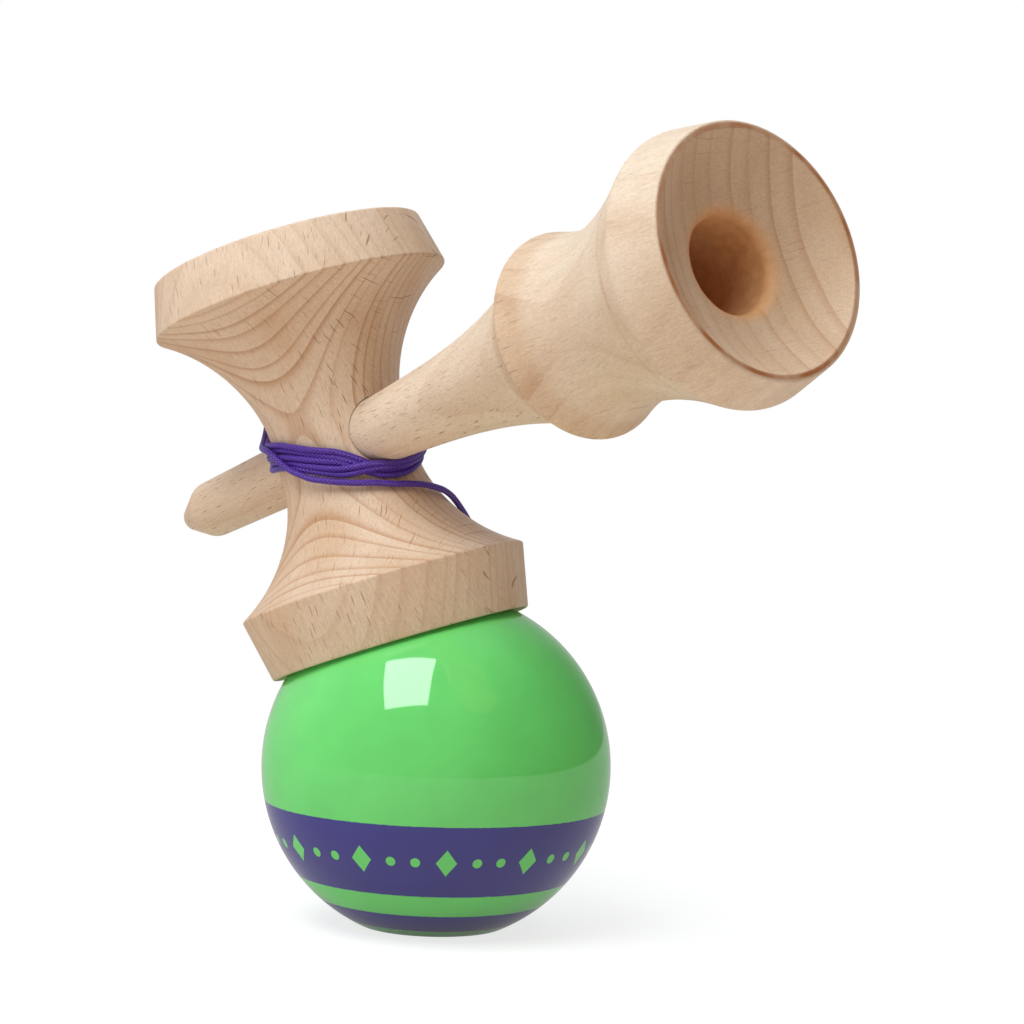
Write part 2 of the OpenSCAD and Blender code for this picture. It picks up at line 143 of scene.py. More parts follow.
class CupSettings(bpy.types.PropertyGroup):
    length: length("Length", "Length between the two rims", 71.8 * MM)
    waist: length("Waist", "Diameter of the waist", 24 * MM)
    waist_low: length("Waist start", "Height of the waist's lower end", 31.4 * MM)
    waist_length: length("Waist length", "Length of the plain waist", 9 * MM)
    small_shoulder: length("Small shoulder", "Diameter of the small cup's shoulder", 50.5 * MM)
    small_rim: length("Small rim", "Outer diameter of the small cup's rim", 45.7 * MM)
    small_band: length("Small band", "Height of the small cup's band", 11.4 * MM)
    small_mouth: length("Small mouth", "Diameter of the small cup's mouth", 41.6 * MM)
    small_bowl: length("Small bowl", "Depth of the small cup's bowl", 13.5 * MM)
    rim_drop: length("Rim drop", "How far the small rim drops outside its mouth", 1.5 * MM)
    big_shoulder: length("Big shoulder", "Diameter of the big cup's shoulder", 52.3 * MM)
    big_rim: length("Big rim", "Outer diameter of the big cup's rim", 47.8 * MM)
    big_band: length("Big band", "Height of the big cup's band", 9.3 * MM)
    big_mouth: length("Big mouth", "Diameter of the big cup's mouth", 44 * MM)
    big_bowl: length("Big bowl", "Depth of the big cup's bowl", 13 * MM)
    edge: length("Edge round", "Radius that eases the turned edges", 0.45 * MM)


class HandleSettings(bpy.types.PropertyGroup):
    seat: length("Seat", "Diameter of the tapered seat at the cup piece's axis", 11.56 * MM)
    spike: length("Spike", "Diameter of the spike where its tip bevel starts", 10.44 * MM)
    spike_length: length("Spike length", "Length from the cup piece's axis to the tip", 51.2 * MM)
    tip_length: length("Tip length", "Length of the bevel at the tip", 7.6 * MM)
    tip: length("Tip", "Diameter of the blunt tip", 4.2 * MM)
    grip: length("Grip", "Diameter of the grip at the collar", 22 * MM)
    grip_at: length("Grip end", "Distance to the end of the grip", 54.8 * MM)
    collar: length("Collar", "Diameter of the collar", 33.9 * MM)
    collar_at: length("Collar place", "Distance to the collar's edge", 66.3 * MM)
    neck: length("Neck", "Diameter of the neck", 28.7 * MM)
    neck_at: length("Neck place", "Distance to the neck", 77 * MM)
    shoulder: length("Base shoulder", "Diameter of the base cup's shoulder", 43.4 * MM)
    shoulder_at: length("Shoulder place", "Distance to the base cup's shoulder", 99.4 * MM)
    rim: length("Base rim", "Outer diameter of the base cup's rim", 39.6 * MM)
    rim_at: length("Rim place", "Distance to the base cup's rim", 108 * MM)
    mouth: length("Base mouth", "Diameter of the base cup's mouth", 37.4 * MM)
    bowl: length("Base bowl", "Depth of the base cup's bowl", 7.6 * MM)
    hole: length(
        "Base hole", "Diameter of the hole in the base cup", 2 * MM * MOUNTS["base_hole"]["dims"]["r_mm"]
    )
    hole_depth: length("Base hole depth", "Depth of that hole below the rim", 24 * MM)
    lip: length("Hole lip", "Width of the eased lip round the hole", 2.2 * MM)
    clearance: length("Seat clearance", "Gap round the seat in the cup piece", 0.14 * MM)


class StringSettings(bpy.types.PropertyGroup):
    diameter: length("Diameter", "Diameter of the string", 1.1 * MM)
    turns: FloatProperty(name="Turns", description="Turns round the waist", default=5.75, min=1)
    strand_pitch: length("Strand pitch", "Distance between neighbouring turns", 1.04 * MM)
    knot: length("Knot", "Diameter of the knots", 2.8 * MM)
    yarns: IntProperty(name="Yarns", description="Yarns in each direction of the braid", default=6, min=4)
    yarn: colour("Yarn", "Colour of the yarn", (0.205, 0.050, 0.900))
    # Painted shade: the groove colour darkens the crevices between the yarns
    groove_shade: colour("Groove", "Colour between the yarns", (0.012, 0.003, 0.070))


class WoodSettings(bpy.types.PropertyGroup):
    pale: colour("Pale", "Pale early wood", (0.785, 0.610, 0.450))
    warm: colour("Warm", "Warmer stretches of the wood", (0.690, 0.480, 0.312))
    ring: colour("Ring", "Late wood at the end of each year", (0.470, 0.207, 0.077))
    ray: colour("Ray", "Flecks of the rays", (0.310, 0.130, 0.050))
    handle_pale: colour("Handle pale", "Pale early wood of the handle", (0.800, 0.650, 0.495))
    handle_warm: colour("Handle warm", "Warmer stretches of the handle", (0.730, 0.555, 0.390))
    burnt: colour("Burnt", "Scorched line on the base cup's rim", (0.420, 0.140, 0.036))


class StageSettings(bpy.types.PropertyGroup):
    lens: FloatProperty(name="Lens", description="Focal length of the camera", default=95.33, unit="CAMERA")
    camera_place: FloatVectorProperty(
        name="Camera place", description="Where the camera stands", default=(0.0115, -0.46488, 0.06057),
        size=3, unit="LENGTH", subtype="TRANSLATION"
    )
    pitch: FloatProperty(
        name="Pitch", description="Tilt of the camera from level", default=math.radians(-2.0287),
        unit="ROTATION"
    )
    roll: FloatProperty(
        name="Roll", description="Roll of the camera", default=math.radians(1.98), unit="ROTATION"
    )
    key_power: FloatProperty(
        name="Key power", description="Power of the softbox", default=2.52, unit="POWER"
    )
    key_colour: colour("Key colour", "Colour of the softbox", (0.92, 0.97, 1.0))
    fill: FloatProperty(name="Fill", description="Strength of the light from all round", default=0.46)


SETTINGS = {
    "kendama_ball": BallSettings,
    "kendama_cup": CupSettings,
    "kendama_handle": HandleSettings,
    "kendama_string": StringSettings,
    "kendama_wood": WoodSettings,
    "kendama_stage": StageSettings,
}


# Outlines and meshes

LATHE_STEPS = 192
FLARE_STEPS = 44
BOWL_STEPS = 30
# Points of a spun outline that meet on the axis are merged within this distance
WELD = 0.002 * MM
# Edges and faces narrower than this are left over from a cut
SLIVER = 0.004 * MM


def mix(a, b, u):
    """The value a share u of the way from a to b."""
    return a + (b - a) * u


def smooth(u):
    """A smooth step from 0 to 1."""
    u = max(0.0, min(1.0, u))
    return u * u * (3 - 2 * u)


def rounded(before, corner, after, radius, steps=6):
    """Points of an arc that eases a corner of an outline."""
    a, b, c = Vector(before), Vector(corner), Vector(after)
    u, v = (a - b).normalized(), (c - b).normalized()
    half = u.angle(v) / 2
    reach = radius / math.tan(half)
    centre = b + (u + v).normalized() * radius / math.sin(half)
    start, end = b + u * reach - centre, b + v * reach - centre
    return [centre + radius * start.slerp(end, i / steps) for i in range(steps + 1)]


def bowl(mouth, depth):
    """Radius and depth of points on a bowl, from its middle to its mouth."""
    ball = (mouth * mouth / 4 + depth * depth) / (2 * depth)
    span = math.asin(mouth / 2 / ball)
    angles = [span * i / BOWL_STEPS for i in range(BOWL_STEPS + 1)]
    return [(ball * math.sin(a), depth - ball + ball * math.cos(a)) for a in angles]


def lathe(name, outline, place, closed=False):
    """A turned solid: the outline of radius and height, spun about Z and put in its place."""
    bm = bmesh.new()
    verts = [bm.verts.new((r, 0, h)) for r, h in outline]
    edges = [bm.edges.new(pair) for pair in zip(verts, verts[1:])]
    if closed:
        edges.append(bm.edges.new((verts[-1], verts[0])))
    bmesh.ops.spin(
        bm, geom=verts + edges, axis=(0, 0, 1), cent=(0, 0, 0), angle=math.tau, steps=LATHE_STEPS,
        use_merge=True
    )
    bmesh.ops.remove_doubles(bm, verts=bm.verts, dist=WELD)
    bmesh.ops.recalc_face_normals(bm, faces=bm.faces)
    bmesh.ops.transform(bm, matrix=place, verts=bm.verts)
    mesh = bpy.data.meshes.new(name)
    bm.to_mesh(mesh)
    bm.free()
    return add_object(name, mesh)


def add_object(name, data):
    """Puts data into the scene as an object at the origin."""
    piece = bpy.data.objects.new(name, data)
    bpy.context.scene.collection.objects.link(piece)
    return piece


def clean(mesh):
    """Merges a cut mesh's slivers and takes out faces folded onto each other."""
    bm = bmesh.new()
    bm.from_mesh(mesh)
    bmesh.ops.remove_doubles(bm, verts=bm.verts, dist=SLIVER)
    bmesh.ops.dissolve_degenerate(bm, edges=bm.edges, dist=SLIVER)
    bmesh.ops.triangulate(bm, faces=[face for face in bm.faces if len(face.verts) > 4])
    same = {}
    for face in bm.faces:
        same.setdefault(frozenset(face.verts), []).append(face)
    folded = [face for faces in same.values() if len(faces) > 1 for face in faces]
    bmesh.ops.delete(bm, geom=folded, context="FACES")
    bm.to_mesh(mesh)
    bm.free()


def cut(piece, cutter):
    """Takes the cutter's solid out of the piece."""
    change = piece.modifiers.new("cut", "BOOLEAN")
    change.operation = "DIFFERENCE"
    change.solver = "EXACT"
    change.object = cutter
    bpy.context.view_layer.update()
    shaped = piece.evaluated_get(bpy.context.evaluated_depsgraph_get())
    mesh = bpy.data.meshes.new_from_object(shaped)
    piece.modifiers.clear()
    clean(mesh)
    old = piece.data
    piece.data = mesh
    mesh.name = piece.name
    bpy.data.meshes.remove(old)
    bpy.data.meshes.remove(cutter.data)


def finish_piece(piece, material, body, slot, *nodes, crease=32):
    """Smooth shading, finish, body and the nodes that the piece stands for; the slot argument is not used.
    """
    piece.data.materials.clear()
    piece.data.materials.append(material)
    piece.data.shade_smooth()
    piece.data.set_sharp_from_angle(angle=math.radians(crease))
    if body:
        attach(piece, body)
    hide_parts(*nodes)
    return piece


# Cup piece

# A flare is a soft curve with a share of a steep one near the shoulder
FLARE_STEEP = 0.18
FLARE_SOFT_POWER = 1.78
FLARE_STEEP_POWER = 6
WAIST_STEPS = 8
# The big rim is eased a little more than the other edges
BIG_RIM_EASE = 1.4
# Length of the seat's bore to each side of the cup piece's axis, as a share of the waist
BORE_REACH = 0.75


def flare(u):
    """Share of the flare's rise at a share u of its height, from the waist to the shoulder."""
    return (1 - FLARE_STEEP) * u**FLARE_SOFT_POWER + FLARE_STEEP * u**FLARE_STEEP_POWER


def cup_radius(cup, h):
    """Radius of the cup piece at a height above its small rim."""
    waist_top = cup.waist_low + cup.waist_length
    big_shoulder_h = cup.length - cup.big_band
    if h < cup.small_band:
        return mix(cup.small_rim, cup.small_shoulder, h / cup.small_band) / 2
    if h < cup.waist_low:
        u = (cup.waist_low - h) / (cup.waist_low - cup.small_band)
        return mix(cup.waist, cup.small_shoulder, flare(u)) / 2
    if h < waist_top:
        return cup.waist / 2
    if h < big_shoulder_h:
        u = (h - waist_top) / (big_shoulder_h - waist_top)
        return mix(cup.waist, cup.big_shoulder, flare(u)) / 2
    return mix(cup.big_shoulder, cup.big_rim, (h - big_shoulder_h) / cup.big_band) / 2


def cup_outline(cup):
    """Outline of the cup piece, from the middle of the small bowl to the middle of the big one."""
    waist_top = cup.waist_low + cup.waist_length
    big_shoulder_h = cup.length - cup.big_band
    small_bowl = [(r, cup.rim_drop + d) for r, d in bowl(cup.small_mouth, cup.small_bowl)]
    big_bowl = [(r, cup.length - d) for r, d in reversed(bowl(cup.big_mouth, cup.big_bowl))]
    small_mouth = small_bowl.pop()
    big_mouth = big_bowl.pop(0)
    small_rim = (cup.small_rim / 2, 0)
    small_shoulder = (cup.small_shoulder / 2, cup.small_band)
    big_shoulder = (cup.big_shoulder / 2, big_shoulder_h)
    big_rim = (cup.big_rim / 2, cup.length)
    low = [mix(cup.small_band, cup.waist_low, i / FLARE_STEPS) for i in range(1, FLARE_STEPS)]
    high = [mix(waist_top, big_shoulder_h, i / FLARE_STEPS) for i in range(1, FLARE_STEPS)]
    waist = [mix(cup.waist_low, waist_top, i / WAIST_STEPS) for i in range(WAIST_STEPS + 1)]
    side = [(cup_radius(cup, h), h) for h in low + waist + high]
    return (
        small_bowl
        + rounded(small_bowl[-1], small_mouth, small_rim, cup.edge)
        + rounded(small_mouth, small_rim, small_shoulder, cup.edge)
        + rounded(small_rim, small_shoulder, side[0], cup.edge)
        + side
        + rounded(side[-1], big_shoulder, big_rim, cup.edge)
        + rounded(big_shoulder, big_rim, big_mouth, BIG_RIM_EASE * cup.edge)
        + rounded(big_rim, big_mouth, big_bowl[0], cup.edge)
        + big_bowl
    )


def rod(name, low, high, low_radius, high_radius, place):
    """A tapered rod along Z, used to cut a hole."""
    ends = [(0, low), (low_radius, low), (high_radius, high), (0, high)]
    return lathe(name, ends, place)


class KENDAMA_OT_cup_piece(bpy.types.Operator):
    """Turns the cup piece and drills it for the handle and the string"""

    bl_idname = "kendama.cup_piece"
    bl_label = "Cup piece"

    def execute(self, context):
        cup, handle = context.scene.kendama_cup, context.scene.kendama_handle
        piece = lathe("cup_piece", cup_outline(cup), CUP_FRAME)
        reach = BORE_REACH * cup.waist
        low, high = (seat_radius(handle, s) + handle.clearance for s in (-reach, reach))
        cut(piece, rod("seat_bore", -reach, reach, low, high, HANDLE_FRAME))
        outwards = CUP_FRAME @ Matrix.Translation((0, 0, ANCHOR_HEIGHT)) @ TO_STRING_SIDE
        hole = 0.5 * context.scene.kendama_string.diameter + STRING_HOLE_ROOM
        cut(piece, rod("string_bore", 0, cup.waist, hole, hole, outwards))
        finish_piece(piece, cup_wood(context.scene), "sarado", "cup_wood", "sarado")
        return {"FINISHED"}


# Handle

GRIP_START = 14 * MM
GRIP_LINE = 2 * MM
COLLAR_BACK = 1.4 * MM
COLLAR_ROUND = 0.8 * MM
COLLAR_POWER = 1.55
BASE_POWER = 1.6
# Radii that ease the edges of the tip, the spike, the base cup's shoulder and its rim
TIP_ROUND = 1.2 * MM
SPIKE_ROUND = 2.5 * MM
SHOULDER_ROUND = 2.2 * MM
RIM_ROUND = 0.4 * MM


def seat_radius(handle, s):
    """Radius of the tapered seat and spike at a distance from the cup piece's axis."""
    taper = (handle.seat - handle.spike) / 2 / (handle.spike_length - handle.tip_length)
    return handle.seat / 2 + taper * s


def grip_radius(handle, s):
    """Radius of the grip, which widens towards the collar."""
    u = (s - GRIP_START) / (handle.grip_at - GRIP_START)
    start = seat_radius(handle, GRIP_START)
    rise = handle.grip / 2 - start
    return start + GRIP_LINE * u + (rise - GRIP_LINE) * u**3


def handle_outline(handle):
    """Outline of the handle, from the tip of the spike to the floor of the base hole."""
    steps = range(1, FLARE_STEPS)
    tip_start = handle.tip_length - handle.spike_length
    tip = (handle.tip / 2, -handle.spike_length)
    spike = (handle.spike / 2, tip_start)
    taper = [mix(tip_start, GRIP_START, i / FLARE_STEPS) for i in steps]
    shaft = [(seat_radius(handle, s), s) for s in taper[2:]]
    grips = [mix(GRIP_START, handle.grip_at, i / FLARE_STEPS) for i in range(FLARE_STEPS + 1)]
    grip = [(grip_radius(handle, s), s) for s in grips]
    back_at = handle.collar_at - COLLAR_BACK
    slope = (grip[-1][0] - grip[-2][0]) / (grip[-1][1] - grip[-2][1])
    back_rise = (handle.collar - handle.grip) / 2 - COLLAR_BACK - slope * (back_at - handle.grip_at)
    back = []
    for i in range(1, FLARE_STEPS // 2 + 1):
        u = 2 * i / FLARE_STEPS
        s = mix(handle.grip_at, back_at, u)
        back.append((handle.grip / 2 + slope * (s - handle.grip_at) + back_rise * u**3, s))
    collar = (handle.collar / 2, handle.collar_at)
    front = []
    for i in range(2, FLARE_STEPS // 2 + 1):
        u = 1 - 2 * i / FLARE_STEPS
        radius = mix(handle.neck, handle.collar, u**COLLAR_POWER) / 2
        front.append((radius, mix(handle.neck_at, handle.collar_at, u)))
    base = []
    for i in range(1, FLARE_STEPS - 1):
        u = i / FLARE_STEPS
        radius = mix(handle.neck, handle.shoulder, u**BASE_POWER) / 2
        base.append((radius, mix(handle.neck_at, handle.shoulder_at, u)))
    shoulder = (handle.shoulder / 2, handle.shoulder_at)
    rim = (handle.rim / 2, handle.rim_at)
    inside = [(r, handle.rim_at - d) for r, d in reversed(bowl(handle.mouth, handle.bowl))]
    mouth = inside.pop(0)
    lip_radius = handle.hole / 2 + handle.lip
    inside = [p for p in inside if p[0] > lip_radius + handle.lip / 2]
    floor = handle.rim_at - handle.hole_depth
    lip = (handle.hole / 2, inside[-1][1] - 0.5 * handle.lip)
    wall = (handle.hole / 2, floor)
    return (
        [(0, -handle.spike_length)]
        + rounded((0, -handle.spike_length), tip, spike, TIP_ROUND)
        + rounded(tip, spike, shaft[0], SPIKE_ROUND)
        + shaft
        + grip
        + back
        + rounded(back[-1], collar, front[0], COLLAR_ROUND, 10)
        + front
        + base
        + rounded(base[-1], shoulder, rim, SHOULDER_ROUND, 12)
        + rounded(shoulder, rim, mouth, RIM_ROUND)
        + rounded(rim, mouth, inside[0], RIM_ROUND)
        + inside
        + rounded(inside[-1], lip, wall, handle.lip, 12)
        + [wall, (0, floor - handle.hole / 8)]
    )


class KENDAMA_OT_handle(bpy.types.Operator):
    """Turns the handle with its spike, grip, collar and drilled base cup"""

    bl_idname = "kendama.handle"
    bl_label = "Handle"

    def execute(self, context):
        handle, string = context.scene.kendama_handle, context.scene.kendama_string
        piece = lathe("handle", handle_outline(handle), HANDLE_FRAME)
        sideways = HANDLE_FRAME @ Matrix.Translation((KNOT_OFF, 0, 0)) @ TO_STRING_SIDE
        pocket = string.knot / 2 + KNOT_ROOM
        cut(piece, rod("knot_pocket", KNOT_FOOT, handle.seat, pocket, pocket, sideways))
        finish_piece(piece, handle_wood(context.scene), "ken", "handle_wood", "ken")
        return {"FINISHED"}


# Ball and bead

SKIN_STEPS = 150
MAIN_HOLE_ROUND = 0.3 * MM
STRING_HOLE_ROUND = 0.25 * MM
BEAD_HOLE_ROOM = 0.15 * MM
BEAD_HOLE_ROUND = 0.3 * MM


def ball_heights(ball):
    """Heights of the ball's foot, the main hole's foot and top, and the chamber's foot and top."""
    stand = ball.hole / 2 + ball.hole_bevel
    foot = -math.sqrt(ball.diameter**2 / 4 - stand**2)
    hole_foot = foot + ball.hole_bevel
    hole_top = hole_foot + ball.hole_depth
    chamber_foot = hole_top + ball.cone
    return foot, hole_foot, hole_top, chamber_foot, chamber_foot + ball.bead_height + 2 * ball.bead_gap


def ball_outline(ball, string_hole):
    """Closed outline of the ball's wall: its skin, the string hole, the bead's chamber, the main hole."""
    foot, hole_foot, hole_top, chamber_foot, chamber_top = ball_heights(ball)
    radius = ball.diameter / 2
    stand = (ball.hole / 2 + ball.hole_bevel, foot)
    low = math.asin(foot / radius)
    high = math.acos(string_hole / radius)
    angles = [mix(low, high, i / SKIN_STEPS) for i in range(1, SKIN_STEPS)]
    skin = [(radius * math.cos(a), radius * math.sin(a)) for a in angles]
    bevel_end = (ball.hole / 2, hole_foot)
    chamber = ball.bead / 2 + ball.bead_gap
    top = (string_hole, radius * math.sin(high))
    string_hole_foot = (string_hole, chamber_top)
    main_hole_top = (ball.hole / 2, hole_top)
    return (
        rounded(bevel_end, stand, skin[0], MAIN_HOLE_ROUND)
        + skin[1:-1]
        + rounded(skin[-2], top, string_hole_foot, STRING_HOLE_ROUND)
        + [string_hole_foot, (chamber, chamber_top), (chamber, chamber_foot), main_hole_top]
        + rounded(main_hole_top, bevel_end, stand, MAIN_HOLE_ROUND)
    )


class KENDAMA_OT_ball(bpy.types.Operator):
    """Turns the ball with its main hole, bead chamber and string hole"""

    bl_idname = "kendama.ball"
    bl_label = "Ball"

    def execute(self, context):
        ball = context.scene.kendama_ball
        string_hole = context.scene.kendama_string.diameter / 2 + STRING_HOLE_ROOM
        piece = lathe("ball", ball_outline(ball, string_hole), Matrix.Identity(4), closed=True)
        finish_piece(piece, ball_lacquer(context.scene), "tama", "ball_paint", "tama")
        return {"FINISHED"}


class KENDAMA_OT_bead(bpy.types.Operator):
    """Turns the wooden bead that holds the string inside the ball"""

    bl_idname = "kendama.bead"
    bl_label = "Bead"

    def execute(self, context):
        ball, string = context.scene.kendama_ball, context.scene.kendama_string
        foot = ball_heights(ball)[3] + ball.bead_gap
        top = foot + ball.bead_height
        hole = string.diameter / 2 + BEAD_HOLE_ROOM
        side = ball.bead / 2
        round_edge = ball.bead_height / 4
        outline = (
            rounded((hole, top), (hole, foot), (side, foot), BEAD_HOLE_ROUND)
            + rounded((hole, foot), (side, foot), (side, top), round_edge, 14)
            + rounded((side, foot), (side, top), (hole, top), round_edge, 14)
            + rounded((side, top), (hole, top), (hole, foot), BEAD_HOLE_ROUND)
        )
        piece = lathe("ball_bead", outline, Matrix.Identity(4), closed=True)
        finish_piece(piece, bead_wood(context.scene), "bead", "bead_wood", "bead")
        return {"FINISHED"}


# String

STRING_HOLE_ROOM = 0.5 * MM
KNOT_ROOM = 0.3 * MM
STRING_STEP = 0.4 * MM
STRING_SIDES = 5
STRING_CREASE = 60

# Where the string comes out of the cup piece, above the small rim,
# and its knot's place beside the handle's axis
ANCHOR_HEIGHT = 33.35 * MM
KNOT_OFF = CROSS_HEIGHT - ANCHOR_HEIGHT
KNOT_FOOT = 0.9 * MM
KNOT_TOP = 3.5 * MM
KNOT_POINTS = 60
KNOT_STEP = 0.15 * MM
KNOT_HEIGHT = 1.6
# Share of the string's thickness that is left where a knot is pulled tight
KNOT_SQUEEZE = 0.8
KNOT_CORD = 12 * MM

# The turns sway from under the grip to over the spike: middle height, sway,
# and how far the wood pushes them aside
WRAP_MIDDLE = 36.5 * MM
WRAP_SWAY = 3.9 * MM
WRAP_DROP = 2.7 * MM
WRAP_EASE = 0.06
GRIP_PUSH = 1.1 * MM
GRIP_PUSH_ANGLE = math.radians(28)
SPIKE_PUSH = 7.0 * MM
SPIKE_PUSH_ANGLE = math.radians(30)
WRAP_START = math.radians(90)
WRAP_POINTS = 48
# The first part of a turn, in which the string climbs from its hole into the bundle
WRAP_CLIMB = 0.12
MIDDLE_TURN = 2
STRAND_WANDER = 0.12 * MM
STRAND_LIFT = 0.2 * MM
# Directions in degrees from which a turn closes up under the grip, and in which it has opened again
CLOSE_UP = (312, 348)
OPEN_OUT = (90, 135)

# Each turn where it squeezes under the grip:
# height from the middle of the bundle, lift off the wood, in mm
UNDER_GRIP = [(0.3, 1.0), (1.0, 1.45), (-0.9, 0), (0.0, 0.1), (0.85, 0)]
# The last strand falls across the others:
# direction in degrees, height from the middle, lift off the wood, in mm
LAST_STRAND = [
    (90, 2.9, 0.2), (140, 2.9, 0.3), (190, 2.9, 0.4), (222, 2.7, 0.9), (245, 2.4, 1.2), (258, 1.7, 1.25),
    (266, 0.3, 1.25), (274, -1.35, 1.2), (290, -2.7, 0.95), (304, -2.85, 0.75), (322, -2.8, 0.6),
    (340, -2.45, 0.4), (360, -2.9, 0.3)
]
# The lead down the small cup: direction in degrees, height above the rim, extra room off the wood, in mm
CUP_ROUTE = [
    (12, 25.1, 0.5), (23, 24.4, 0.4), (35, 23.6, 0.35), (46, 22.6, 0.3), (54, 21.4, 0.2), (61, 20.1, 0.1),
    (68, 18.8, 0.1), (75, 17.3, 0.1), (82, 15.7, 0.1), (88, 14, 0.1), (94, 12.3, 0.5), (99, 10.6, 0.4),
    (104, 8, 0.1), (108, 5.8, 0.1), (112, 3.5, 0.1), (117, 1.2, 0.2)
]
# Then over the ball under the rim: direction in degrees, angle from the cup piece's axis, extra room in mm
BALL_ROUTE = [
    (124, 50, 1.7), (130, 47.5, 0.2), (134, 43, 0), (137, 38, 0), (134, 33, 0), (127, 28.5, 0), (117, 25, 0),
    (104, 22.5, 0), (90, 21, 0)
]
# Then up and over into the string hole: distance behind the hole's axis, height above the ball's top, in mm
HOLE_ROUTE = [
    (7.9, -0.2), (6.6, 0.4), (5.4, 1.1), (4.4, 1.7), (3.4, 2.1), (2.3, 2.2), (1.2, 1.8), (0.4, 1), (0, 0)
]
LIE_GAP = 0.3 * MM


def round_axis(angle, radius, height):
    """A point in a direction round the Z axis."""
    return Vector((radius * math.cos(angle), radius * math.sin(angle), height))


def lie_radius(cup, h, room):
    """Radius at which a strand's middle lies on the cup piece when it stands that far off the wood."""
    step = 0.1 * MM
    slope = (cup_radius(cup, h + step) - cup_radius(cup, h - step)) / (2 * step)
    return cup_radius(cup, h) + room * math.hypot(1, slope)


def push(angle, towards, width):
    """Share of a push that fades away from one direction."""
    away = (angle - towards + math.pi) % math.tau - math.pi
    return math.exp(-((away / width) ** 2))


def sway(angle):
    """Height of the middle of the bundle in a direction."""
    grip = GRIP_PUSH * push(angle, 0, GRIP_PUSH_ANGLE)
    spike = SPIKE_PUSH * push(angle, math.pi, SPIKE_PUSH_ANGLE)
    front = math.cos(angle)
    drop = WRAP_SWAY * front + WRAP_DROP * math.sqrt(front * front + WRAP_EASE)
    return WRAP_MIDDLE - drop - grip + spike


def along_table(table, x):
    """Values of a table at x, eased between its rows."""
    for low, high in zip(table, table[1:]):
        if x <= high[0]:
            u = max(0.0, (x - low[0]) / (high[0] - low[0]))
            return [mix(a, b, u) for a, b in zip(low[1:], high[1:])]
    return list(table[-1][1:])


def wrap_point(cup, string, n):
    """A point of the winding after n turns."""
    angle = WRAP_START + math.tau * n
    turn = int(n + 1e-9)
    degrees = math.degrees(WRAP_START) + 360 * (n - turn)
    if turn >= len(UNDER_GRIP):
        offset, lift = (MM * v for v in along_table(LAST_STRAND, degrees))
    else:
        wander = STRAND_WANDER * math.sin(3 * angle + 2 * turn)
        offset = (n - MIDDLE_TURN) * string.strand_pitch + wander
        lift = STRAND_LIFT * (1 + math.sin(2 * angle + 2.5 * turn))
        low, high = CLOSE_UP if degrees > 180 else OPEN_OUT
        squeeze = smooth((degrees - low) / (high - low))
        if degrees <= 180:
            squeeze = 1 - squeeze
        after = UNDER_GRIP[turn]
        if degrees < 180 and turn > 0:
            after = UNDER_GRIP[turn - 1]
        if degrees >= 180 or turn > 0:
            offset = mix(offset, after[0] * MM, squeeze)
            lift = mix(lift, after[1] * MM, squeeze)
    h = sway(angle) + offset
    h = mix(ANCHOR_HEIGHT, h, smooth(n / WRAP_CLIMB))
    room = string.diameter / 2 + lift
    return round_axis(angle, lie_radius(cup, h, room), h)


def smooth_line(points, step):
    """A smooth curve through the points, cut into even steps."""
    ends = [2 * points[0] - points[1], *points, 2 * points[-1] - points[-2]]
    fine = []
    for a, b, c, d in zip(ends, ends[1:], ends[2:], ends[3:]):
        fine += interpolate_bezier(b, b + (c - a) / 6, c - (d - b) / 6, c, 9)[:-1]
    fine.append(points[-1])
    lengths = [(q - p).length for p, q in zip(fine, fine[1:])]
    total = sum(lengths)
    count = round(total / step)
    line = [fine[0].copy()]
    gone, i = 0.0, 0
    for k in range(1, count):
        at = total * k / count
        while gone + lengths[i] < at:
            gone += lengths[i]
            i += 1
        line.append(fine[i].lerp(fine[i + 1], (at - gone) / lengths[i]))
    line.append(fine[-1].copy())
    return line


def cord_length(line):
    """Length along a line of points."""
    return sum((q - p).length for p, q in zip(line, line[1:]))


def tube(name, line, diameter):
    """A round mesh tube along a line, with its own map along and round it."""
    curve = bpy.data.curves.new(name, "CURVE")
    curve.dimensions = "3D"
    curve.bevel_depth = diameter / 2
    curve.bevel_resolution = STRING_SIDES
    curve.use_fill_caps = True
    spline = curve.splines.new("POLY")
    spline.points.add(len(line) - 1)
    for point, place in zip(spline.points, line):
        point.co = (*place, 1)
    source = bpy.data.objects.new(name + "_line", curve)
    mesh = bpy.data.meshes.new_from_object(source)
    mesh.name = name
    bpy.data.objects.remove(source)
    bpy.data.curves.remove(curve)
    return add_object(name, mesh)


def overhand_knot(name, centre, axis, size, diameter):
    """A small overhand knot, pulled tight, as a tube round a trefoil."""
    turn = axis.to_track_quat("Z", "Y").to_matrix()
    lobe = (size - diameter) / 6
    points = []
    for i in range(KNOT_POINTS):
        a = math.tau * (i / KNOT_POINTS + 0.02)
        ring = lobe * (2 + math.cos(3 * a))
        spot = round_axis(2 * a, ring, KNOT_HEIGHT * lobe * math.sin(3 * a))
        points.append(centre + turn @ spot)
    return tube(name, smooth_line(points, KNOT_STEP), diameter)


